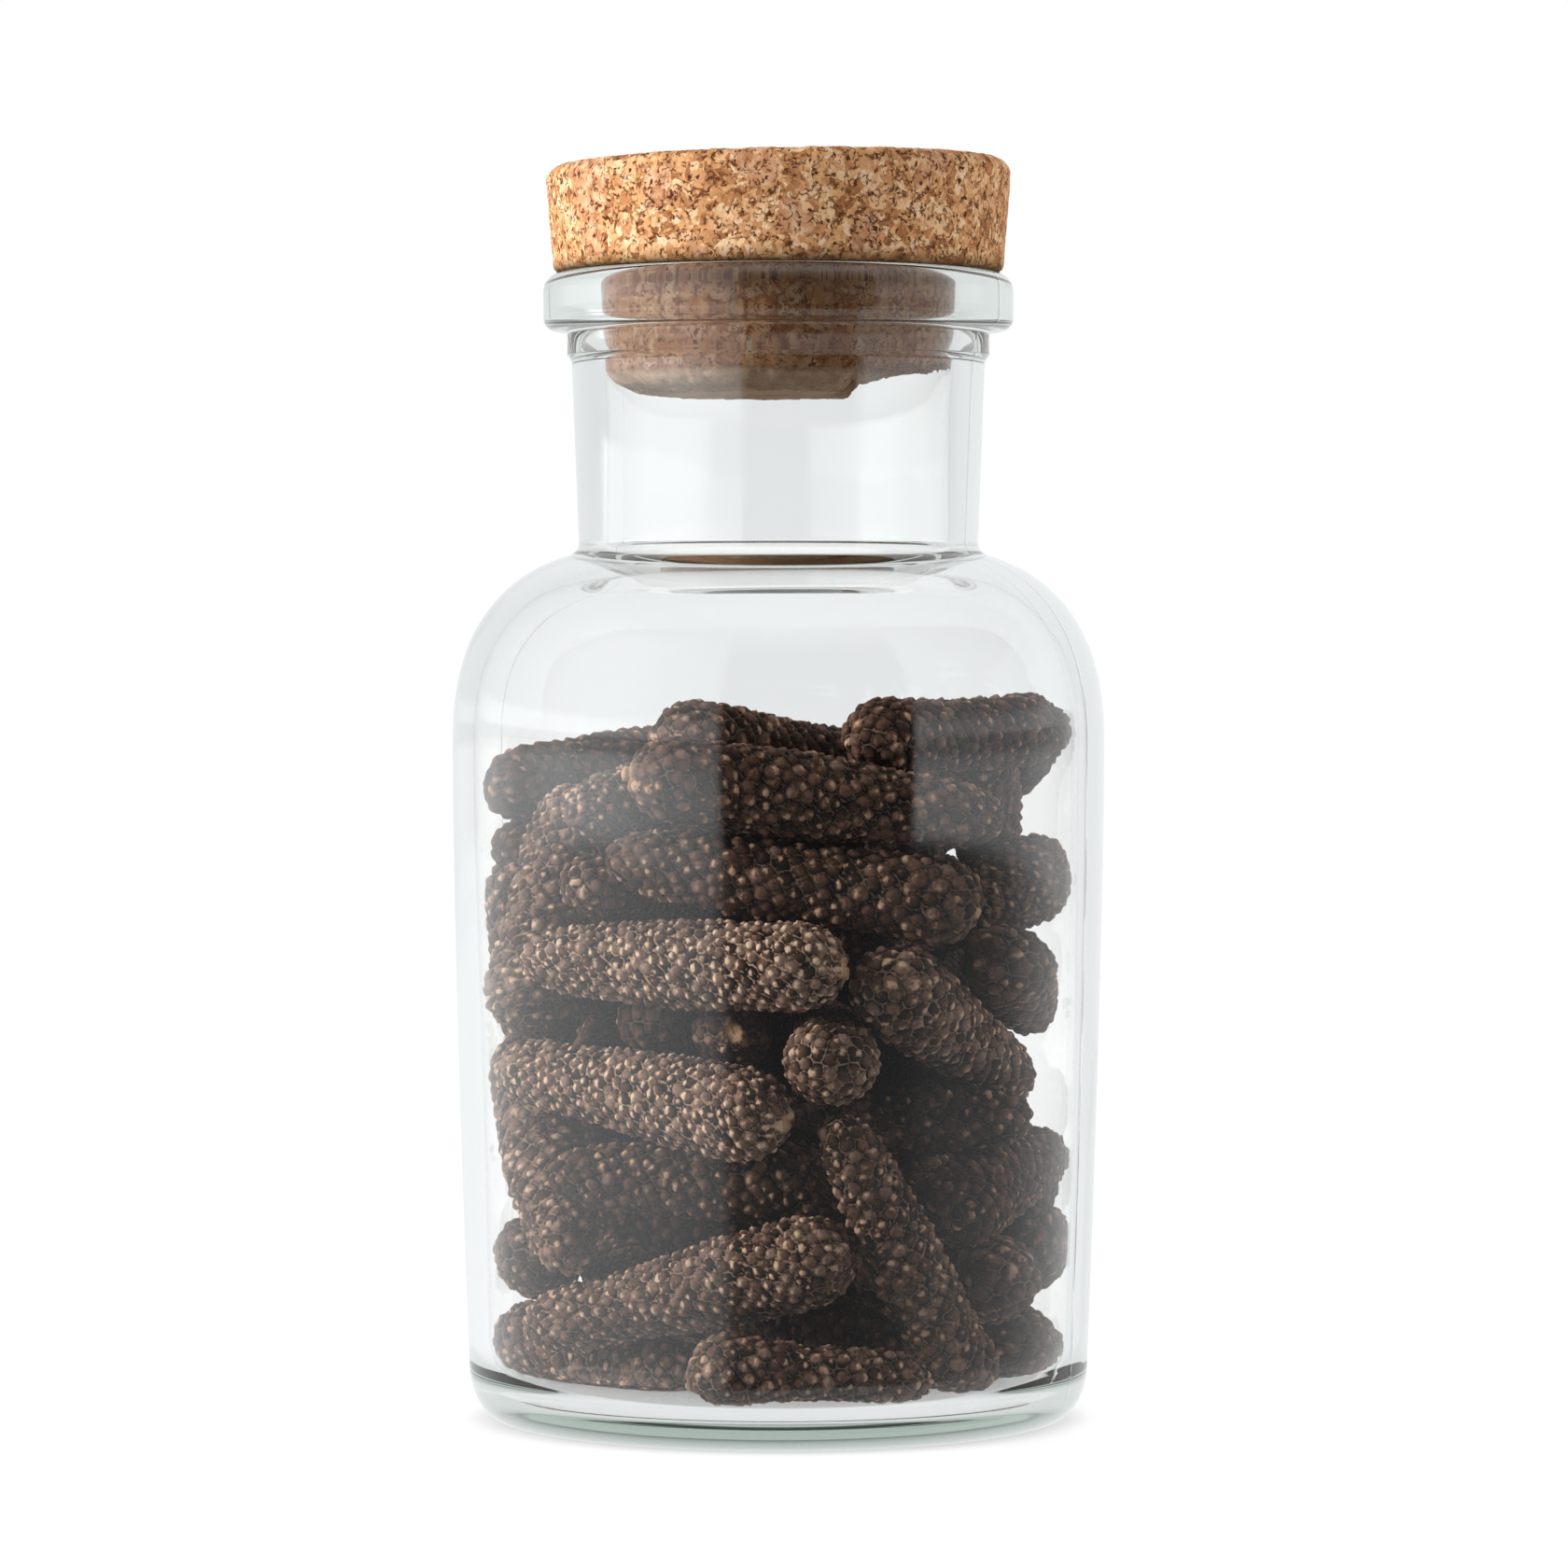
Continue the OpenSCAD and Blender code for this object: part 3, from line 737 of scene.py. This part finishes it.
def pod_line(length, r, stem):
    """Half of a pod's outline as points (r, s) with s along its axis: a straight taper whose radius
    fades at each end by sqrt(1 - u^END_POWER), where u goes from 0 at the start of the end to 1 at
    its tip. The thin end is the longer one. A stem adds a short stub at the start."""
    tip = r * TIP_SHARE
    s = -np.cos(np.linspace(0, math.pi, 90)) * length / 2
    thick_end = np.clip((THICK_END * r - length / 2 - s) / (THICK_END * r), 0, 1)
    thin_end = np.clip((THIN_END * tip - length / 2 + s) / (THIN_END * tip), 0, 1)
    taper = r + (tip - r) * rising(s + length / 2, r, length - r - tip)
    fade = np.sqrt(np.maximum(1 - thick_end ** END_POWER, 0) * np.maximum(1 - thin_end ** END_POWER, 0))
    line = np.stack([taper * fade, s], axis=1)
    if stem > 0:
        inside = line[:, 0] > STUB_R
        foot = line[inside][0, 1]
        line = np.concatenate([[[0.3 * STUB_R, foot - stem], [STUB_R, foot - stem + 0.2 * MM],
                                [0.8 * STUB_R, foot - 0.2 * MM]], line[inside]])
    return line


def inner_radius(z):
    """How far from the axis the inside of the glass lies at height z: the body, rounded at the heel
    and closing at the shoulder by the shoulder's superellipse."""
    body = body_radius(z) - WALL
    drop = np.clip(FLOOR + INNER_HEEL - z, 0, INNER_HEEL)
    body = body - INNER_HEEL + np.sqrt(INNER_HEEL ** 2 - drop ** 2)
    up = np.clip((z - SHOULDER_Z) / (SHOULDER_H - WALL), 0, 0.99)
    closing = (SHOULDER_W - WALL) * (1 - (1 - up ** SHOULDER_POWER) ** (1 / SHOULDER_POWER))
    return body - closing


def kept_inside(points):
    """The points, with those that would reach the glass moved back to just inside it. Berries that
    lean on the wall are pressed a little flat by this."""
    x, y, z = np.moveaxis(points, -1, 0)
    z = np.maximum(z, FLOOR + SHAVE)
    share = np.minimum(1, (inner_radius(z) - 2 * SHAVE) / np.hypot(x, y))
    return np.stack([x * share, y * share, z], axis=-1)


def berries(line, around, rng, size):
    """The berries as each skin point sees them. line is the outline and around the turns of a ring.
    Berry k sits at k golden turns, where the skin's area from the start, over the area of one berry,
    reaches k. That area is BERRY_SHARE times the spacing squared, as in a honeycomb. Only the WINDOW
    berries before and after a point's own count can be its nearest.
    Distances are in berry radii. Gives the skin points and, for each of them, the dome
    (1 - g^2)^DOME_POWER of the nearest berry at distance g, leaning a little to one side, how far the
    next berry is beyond it, the mark of the berry's tip, which lies off its middle, and two random
    numbers of the berry."""
    r, s = line[:, 0], line[:, 1]
    step = np.hypot(np.diff(r), np.diff(s))
    spacing = size * (1.06 - 0.16 * np.linspace(0, 1, len(s)))
    grown = 2 * math.pi * r / (BERRY_SHARE * spacing ** 2)
    number = np.concatenate([[0], np.cumsum((grown[1:] + grown[:-1]) / 2 * step)])
    total = int(number[-1])
    rows = np.arange(len(s))
    at = np.interp(np.arange(total) + 0.5, number, rows)
    berry_r = np.interp(at, rows, r)
    berry_s = np.interp(at, rows, s) + rng.normal(0, JITTER, total) * size
    shaken = rng.normal(0, JITTER, total) * size / np.maximum(berry_r, size)
    berry_turn = np.arange(total) * GOLDEN + shaken
    reach = 0.58 * np.interp(at, rows, spacing) * rng.uniform(0.8, 1.18, total)
    x, y = berry_r * np.cos(berry_turn), berry_r * np.sin(berry_turn)
    skin_x, skin_y = r[:, None] * np.cos(around), r[:, None] * np.sin(around)
    first, second = np.full(skin_x.shape, FAR), np.full(skin_x.shape, FAR)
    owner = np.zeros(skin_x.shape, int)
    nearby = np.round(number).astype(int)
    for shift in range(-WINDOW, WINDOW + 1):
        j = np.clip(nearby + shift, 0, total - 1)
        gap = (skin_x - x[j][:, None]) ** 2 + (skin_y - y[j][:, None]) ** 2
        gap = (gap + (s - berry_s[j])[:, None] ** 2) / reach[j][:, None] ** 2
        better = gap < first
        second = np.where(better, first, np.minimum(second, np.where(j[:, None] == owner, FAR, gap)))
        owner = np.where(better, j[:, None], owner)
        first = np.minimum(first, gap)
    dome = np.clip(1 - first, 0, 1) ** DOME_POWER
    beyond = np.sqrt(second) - np.sqrt(first)
    off = (around - berry_turn[owner] + math.pi) % (2 * math.pi) - math.pi
    sideways = off * r[:, None] / reach[owner] - rng.normal(0, 0.2, total)[owner]
    onwards = (s[:, None] - berry_s[owner]) / reach[owner] - rng.normal(0.3, 0.15, total)[owner]
    mark = bell(onwards, 0.28) * bell(sideways, rng.uniform(0.28, 0.5, total)[owner])
    lean = rng.uniform(-1, 1, (2, total))[:, owner]
    dome = dome * (1 + 0.3 * lean[0] * np.clip(onwards, -1, 1) + 0.3 * lean[1] * np.clip(sideways, -1, 1))
    skin = np.stack([skin_x, skin_y, s[:, None] + 0 * skin_x], axis=-1)
    return skin, dome, beyond, mark, *rng.uniform(0, 1, (2, total))[:, owner]


def crumbled(shape, rng):
    """Fine unevenness of the skin: random values, smoothed by a mean with their neighbours."""
    rough = rng.normal(0, 1, shape)
    for axis in (0, 1, 0, 1):
        rough = (np.roll(rough, 1, axis) + 2 * rough + np.roll(rough, -1, axis)) / 4
    return rough / rough.std()


def pod_skin(name, pose, rng, stem, scarred, pale, bent, slim, around, along):
    """The skin of a pod: the outline's rings, raised by the berries along their normals, swollen and
    bent a little, and carried to the pod's place. Attributes tell the material what it needs: how
    high on a berry a point is, how close to a gap, a tip or a scar, and the tones of berry and pod."""
    middle, direction, length, r = pose
    line = pod_line(length - 0.8 * BERRY_HEIGHT, r - slim * BERRY_HEIGHT, stem)
    line = spread_evenly(line, np.hypot(*np.diff(line, axis=0).T).sum() / (along + 0.5))
    line[0, 0] = max(line[0, 0], POINT_R)
    line[-1, 0] = POINT_R
    turns = np.linspace(0, 2 * math.pi, around, endpoint=False)
    size = BERRY * (0.98 if pale > 0.8 else rng.uniform(0.98, 1.3))
    skin, dome, beyond, mark, tone, worn = berries(line, turns, rng, size)
    slope = np.gradient(line, axis=0)
    slope /= np.linalg.norm(slope, axis=1)[:, None]
    normal_r, normal_s = slope[:, 1:], -slope[:, :1]
    s = line[:, 1:]
    to_end = np.hypot(line[:, :1], s - s.min())
    scar = np.exp(-(to_end / (scarred + 0.01 * MM)) ** 4) * (scarred > 0)
    if stem > 0:
        scar = 1 / (1 + np.exp((s - s.min() - stem) / (0.12 * MM)))
    ring = bell(to_end - 1.1 * scarred, 0.25 * MM) * (scarred > 0)
    knob = 0.8 * dome * rising(beyond, 0, 0.4) ** 0.6 * (0.5 + 0.6 * np.sqrt(tone)) + 0.3 * mark
    knob = knob + 0.15 * pale * bell(beyond, 0.2)
    rise = BERRY_HEIGHT * knob * (1 - 0.9 * scar) + 0.25 * MM * ring
    rise = rise + POD_GRIT * crumbled(dome.shape, rng) * rising(line[:, :1], 0, 1 * MM)
    swell = POD_SWELL * np.sin(2 * turns + rng.uniform(0, 6) + s / (5 * MM)) * rising(line[:, :1], 0, r)
    swell = swell + POD_WAVE * np.sin(s / (3.1 * MM) + rng.uniform(0, 6))
    out = rise + swell - POD_SUNK
    x = skin[..., 0] + out * normal_r * np.cos(turns)
    y = skin[..., 1] + out * normal_r * np.sin(turns)
    z = skin[..., 2] + out * normal_s
    x = x + rng.uniform(-bent, bent) * (1 - 3 * (z / length) ** 2)
    side = np.cross(direction, (0.3, 0.2, 1.0))
    side /= np.linalg.norm(side)
    turn = rng.uniform(0, 2 * math.pi)
    a = side * math.cos(turn) + np.cross(direction, side) * math.sin(turn)
    b = np.cross(direction, a)
    rings = kept_inside(middle + x[..., None] * a + y[..., None] * b + z[..., None] * direction)
    first, last = rings[0].mean(axis=0), rings[-1].mean(axis=0)
    whole = 0 * dome
    fields = {"berry": knob, "gap": bell(beyond, 0.3),
              "tip": mark * np.clip(0.9 * worn + 0.5 * pale - 0.32, 0, 1),
              "berry_tone": 0.55 * tone + 0.45 * pale, "scar": scar + whole, "pod_tone": whole + pale}
    values = {key: np.append(v.ravel(), [v[0].mean(), v[-1].mean()]) for key, v in fields.items()}
    return closed_skin(name, rings, first, last, **values)


test_line = pod_line(30 * MM, 4 * MM, 0)
print("a pod's outline has", len(test_line), "points before it is spread")

# %% [markdown]
# ## Dried pepper skin
# Between the berries the skin is painted nearly black, as shade in the hollows. The berries
# themselves are dark brown to grey, and many carry a worn tan tip, where the stigma broke away.
# Where the stalk broke off, the wood inside is pale. All of that follows attributes that were worked
# out with the shape.

# %% Make the pepper material
def attribute(tree, name):
    """The value of a mesh attribute."""
    return made(tree, "ShaderNodeAttribute", attribute_name=name).outputs["Fac"]


PEPPER_TONES = [(0.15, srgb(40, 27, 21)), (0.35, srgb(76, 52, 42)), (0.55, srgb(110, 82, 68)),
                (0.75, srgb(158, 128, 112))]


def pepper_material():
    """Dark grey-brown berries with hollows painted nearly black as shade, a paler net of old bracts
    between them and a worn, tan tip on each. Pods differ in how much of the pale parts they show."""
    material, tree = new_material("dried_pepper")
    berry, tone, pod = (attribute(tree, name) for name in ("berry", "berry_tone", "pod_tone"))
    place = made(tree, "ShaderNodeTexCoord").outputs["Object"]
    crumbs = noise(tree, place, 0.4 * MM, 3).outputs["Fac"]
    body = ramp(tree, mixed(tree, 0.35, tone, crumbs), PEPPER_TONES)
    # Painted shade: low on each berry the colour goes nearly black, as shade in the hollows.
    colour = mixed(tree, mask(tree, berry, [(0.25, 1), (0.7, 0)]), body, srgb(10, 6, 5))
    net = mask(tree, mixed(tree, 0.55, attribute(tree, "gap"), crumbs), [(0.52, 0), (0.66, 1)])
    colour = mixed(tree, computed(tree, "MULTIPLY", net, pod), colour, srgb(190, 154, 130))
    tip = mask(tree, mixed(tree, 0.45, attribute(tree, "tip"), crumbs), [(0.3, 0), (0.46, 1)])
    tan = mixed(tree, pod, srgb(186, 142, 112), srgb(244, 210, 180))
    colour = mixed(tree, tip, colour, tan)
    colour = mixed(tree, attribute(tree, "scar"), colour, srgb(206, 168, 132))
    end_dry(tree, colour, 0.28 * MM, 0.4, 0.8, 0.15 * MM, 0.6, 0.25)
    return material


PEPPER = pepper_material()
print("pepper material:", PEPPER.name)

# %% [markdown]
# ## All the pods
# The pods in front are looked at closely, so they get the finer skins. The ones behind and inside
# are seen between others, and take coarser ones, a little fuller than their solids so that no light
# shows between them. A few pods have a short stalk or a pale scar, and some are paler all over. The
# lists give these by the pod's number.

# %% Make all the pods
FRONT_COUNT = 31
INNER_BASE = 60
SEED_BASE = 99
FINE_SKIN = {"bent": 0.35 * MM, "slim": 0.7, "around": 120, "along": 154}
COARSE_SKIN = {"bent": 0.1 * MM, "slim": -0.7, "around": 76, "along": 98}
FULLEST_SLIM = -1.3
FULLEST = (40, 43, 46, 47, 49, 50)
STEMS = {26: 0.9 * MM, 28: 1.7 * MM, 31: 1.5 * MM}
SCARS = {10: 0.7 * MM, 13: 0.6 * MM, 14: 0.8 * MM, 18: 0.8 * MM, 21: 0.9 * MM}
PALE = {3: 0.5, 7: 0.6, 9: 0.6, 11: 0.3, 13: 0.3, 14: 0.9, 15: 0.7, 16: 0.65, 21: 1.0, 22: 0.65,
        25: 0.35, 26: 0.35, 28: 0.5}


def add_pod(name, pose, number, fine):
    """One finished pod that rides in the jar. Its number also starts its random numbers."""
    rng = np.random.default_rng(SEED_BASE + number)
    pale = PALE.get(number, (0.2 if fine else 0.0) + 0.3 * rng.random())
    form = dict(FINE_SKIN if fine else COARSE_SKIN)
    if number in FULLEST:
        form["slim"] = FULLEST_SLIM
    pod = pod_skin(name, pose, rng, STEMS.get(number, 0.0), SCARS.get(number, 0.0), pale, **form)
    pod.data.materials.append(PEPPER)
    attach(pod, "jar")
    return pod


for number, name in enumerate(pod_names, 1):
    pod = add_pod(name, poses[name], number, number <= FRONT_COUNT)
    pod.name = "skin_" + name
    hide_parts(name)
for number, pose in enumerate(inner, 1):
    pod = add_pod(f"skin_inner_pod_{number}", pose, INNER_BASE + number, False)
    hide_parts("inner_pepper_pods")
print("pods made:", len(pod_names) + len(inner))

# %% [markdown]
# ## The studio
# Glass shows the room around it, so the room matters. A wide soft light stands at the left and a
# narrower one at the right, with a dark gap between them, where the camera is. The gap shows in the
# glass as a clear upright band. Two thin brighter bands just above and below eye level and a bright
# floor give the shoulder and the heel their light lines. Three soft lamps, which the glass doesn't
# mirror, light the pods and the cork. Behind the jar everything is white.

# %% Light the room
ROOM_PEAK = 2.0
LIGHT_GAIN = 0.42
ROOM_SILL = -3.4
UPPER_ROOM = [(-180, 0.48), (-140, 0.42), (-105, 0.45), (-85, 0.7), (-60, 0.7), (-40, 0.48), (-21.5, 0.34),
              (-20.5, 0.01), (48.5, 0.01), (49.5, 0.34), (95, 0.3), (140, 0.45), (180, 0.48)]
LOWER_ROOM = [(-180, 0.48), (-110, 0.53), (-75, 0.6), (-50, 0.54), (-30, 0.43), (-21, 0.34), (-17, 0.11),
              (0, 0.08), (25, 0.08), (45, 0.12), (60, 0.2), (90, 0.25), (125, 0.45), (180, 0.48)]
GAP_TURNS = (-25, -20, 80, 110)
GAP_SHADE = 0.4
BAND_TURNS = (-140, -120, 110, 125)
HIGH_BAND = (1.8, 2.2, 5, 8)
HIGH_EXTRA = 0.6
LOW_BAND = (-3.7, -3.1, -1.6, -0.4)
LOW_EXTRA = 0.7
FLOOR_LIGHT = 0.9
CEILING_LIGHT = 0.8
AMBIENT_BELOW = 0.75
AMBIENT_ABOVE = 0.2
ROOM_TINT = (0.968, 0.982, 0.995, 1)


def world_light():
    """A world whose brightness depends on a direction's turn atan2(x, -y), which is 0 towards the
    camera, and its rise asin(z). One list gives the brightness by turn above the sill of the room,
    and another below it. Mirrored light sees that room with its bands, floor and ceiling. Pods and
    cork are lit by a plainer, dimmer one. Rays that come straight from the camera, or straight
    through the glass, find plain white."""
    world = bpy.data.worlds.new("studio")
    bpy.context.scene.world = world
    world.use_nodes = True
    tree = world.node_tree
    tree.nodes.clear()

    def times(a, b):
        """The product of two values."""
        return computed(tree, "MULTIPLY", a, b)

    def choose(share, a, b):
        """a where share is 0 and b where it is 1."""
        return computed(tree, "MULTIPLY_ADD", share, computed(tree, "SUBTRACT", b, a), a)

    def around(turn, stops):
        """Brightness by turn, as a share of the brightest."""
        share = computed(tree, "MULTIPLY_ADD", turn, 1 / (2 * math.pi), 0.5)
        return times(mask(tree, share, [((a + 180) / 360, v) for a, v in stops]), ROOM_PEAK)

    def step(given, start, end):
        """0 below start and 1 above end, in degrees, with a smooth step between."""
        inputs = {"Value": given, "From Min": math.radians(start), "From Max": math.radians(end)}
        return made(tree, "ShaderNodeMapRange", inputs, interpolation_type="SMOOTHSTEP").outputs[0]

    def within(given, start, full, fading, end):
        """0 outside start and end, and 1 from full to fading."""
        return times(step(given, start, full), computed(tree, "SUBTRACT", 1, step(given, fading, end)))

    direction = made(tree, "ShaderNodeTexCoord").outputs["Generated"]
    x, y, z = made(tree, "ShaderNodeSeparateXYZ", {0: direction}).outputs
    turn = computed(tree, "ARCTAN2", x, times(y, -1))
    rise = computed(tree, "ARCSINE", z)
    dimmed = times(within(turn, *GAP_TURNS), step(rise, -9, ROOM_SILL))
    near = times(around(turn, LOWER_ROOM), choose(dimmed, 1, GAP_SHADE))
    below = choose(step(rise, -60, -30), FLOOR_LIGHT, near)
    room = choose(step(rise, ROOM_SILL - 0.3, ROOM_SILL + 0.3), below, around(turn, UPPER_ROOM))
    high = times(within(rise, *HIGH_BAND), HIGH_EXTRA)
    low = times(within(rise, *LOW_BAND), LOW_EXTRA)
    extra = times(within(turn, *BAND_TURNS), computed(tree, "ADD", low, high))
    mirrored = choose(step(rise, 40, 60), times(room, computed(tree, "ADD", extra, 1)), CEILING_LIGHT)
    mirrored = choose(step(rise, -22, -14), FLOOR_LIGHT, mirrored)
    ambient = choose(step(rise, 20, 55), times(room, LIGHT_GAIN), AMBIENT_ABOVE)
    ambient = choose(step(rise, -25, -10), AMBIENT_BELOW, ambient)
    path = made(tree, "ShaderNodeLightPath").outputs
    shiny = computed(tree, "MAXIMUM", path["Is Glossy Ray"], path["Is Transmission Ray"])
    turned_back = computed(tree, "MINIMUM", path["Glossy Depth"], 1)
    strength = choose(shiny, ambient, choose(turned_back, 1, mirrored))
    tint = mixed(tree, shiny, grey(1), ROOM_TINT)
    seen = path["Is Camera Ray"]
    light = made(tree, "ShaderNodeBackground", {
        "Color": mixed(tree, seen, tint, grey(1)), "Strength": choose(seen, strength, 1)})
    made(tree, "ShaderNodeOutputWorld", {"Surface": light.outputs[0]})


LAMP_AWAY = 1.0
LAMP_SIZE = 0.4
LAMPS = [("key_lamp", -74, 20, 13.0), ("fill_lamp", 82, 20, 3.4), ("back_lamp", 165, 35, 7.0)]


def soft_lamp(name, turn, rise, power):
    """A square soft lamp, LAMP_AWAY from the middle of the jar and aimed at it."""
    lamp_data = bpy.data.lights.new(name, "AREA")
    lamp_data.size = LAMP_SIZE
    lamp_data.energy = power
    lamp = bpy.data.objects.new(name, lamp_data)
    a, b = math.radians(turn), math.radians(rise)
    level = LAMP_AWAY * math.cos(b)
    lamp.location = (level * math.sin(a), -level * math.cos(a), LAMP_AWAY * math.sin(b) + JAR_H / 2)
    lamp.rotation_euler = (math.pi / 2 - b, 0, a)
    lamp.visible_glossy = False
    lamp.visible_transmission = False
    bpy.context.scene.collection.objects.link(lamp)


world_light()
for lamp_values in LAMPS:
    soft_lamp(*lamp_values)
bpy.context.scene.view_settings.view_transform = "Standard"
print("world:", bpy.context.scene.world.name)

# %% [markdown]
# ## The table
# The jar stands on a plain white table. Seen directly from above it is as white as the background,
# but for a painted shadow under the jar's foot, where it glows less, and a faint shadow that the
# lamps cast. Everything else looks through it: what the glass mirrors, the light that falls on the
# pods, and a camera that is below it.

# %% Lay the table
TABLE_FRONT = -0.72
TABLE_FAR = 4.0
TABLE_HALF = 3.0
DROP = 0.05 * MM
TABLE_PAINT = 0.12
GLOW_FULL = 300 * MM
# The dimmer glow within the jar's foot is a painted shadow. Further out the glow rises to an even white.
TABLE_GLOW_AND_PAINTED_SHADOW = [(26 * MM, 0.55), (31 * MM, 0.93), (50 * MM, 0.94), (GLOW_FULL, 1)]


def table_material():
    """White paint that glows a little, so that its shade is faint. How much it glows depends on the
    distance from the middle: under the jar's foot it glows less, which is a painted shadow. Only
    straight views from above see it. For light that falls on the jar or is mirrored by it, the room's
    lower half is what counts."""
    material, tree = new_material("white_table")
    paint = made(tree, "ShaderNodeBsdfDiffuse", {"Color": grey(TABLE_PAINT)})
    place = made(tree, "ShaderNodeTexCoord").outputs["Object"]
    away = made(tree, "ShaderNodeVectorMath", {0: place}, operation="LENGTH").outputs["Value"]
    reach = computed(tree, "DIVIDE", away, GLOW_FULL)
    brightness = mask(tree, reach, [(r / GLOW_FULL, v) for r, v in TABLE_GLOW_AND_PAINTED_SHADOW])
    glow = made(tree, "ShaderNodeEmission", {"Strength": brightness})
    shown = made(tree, "ShaderNodeAddShader", {0: paint.outputs[0], 1: glow.outputs[0]})
    path = made(tree, "ShaderNodeLightPath").outputs
    from_below = made(tree, "ShaderNodeNewGeometry").outputs["Backfacing"]
    passing = computed(tree, "MAXIMUM", path["Is Shadow Ray"], from_below)
    aside = computed(tree, "ADD", path["Glossy Depth"], path["Is Diffuse Ray"])
    passing = computed(tree, "ADD", passing, aside, clamp=True)
    open_air = made(tree, "ShaderNodeBsdfTransparent")
    mix = made(tree, "ShaderNodeMixShader", {0: passing, 1: shown.outputs[0], 2: open_air.outputs[0]})
    made(tree, "ShaderNodeOutputMaterial", {"Surface": mix.outputs[0]})
    return material


corners = [(-TABLE_HALF, TABLE_FRONT), (TABLE_HALF, TABLE_FRONT), (TABLE_HALF, TABLE_FAR),
           (-TABLE_HALF, TABLE_FAR)]
table_mesh = bpy.data.meshes.new("table")
table_mesh.from_pydata([(x, y, -DROP) for x, y in corners], [], [(0, 1, 2, 3)])
table = bpy.data.objects.new("table", table_mesh)
bpy.context.scene.collection.objects.link(table)
table.data.materials.append(table_material())
print("table laid")
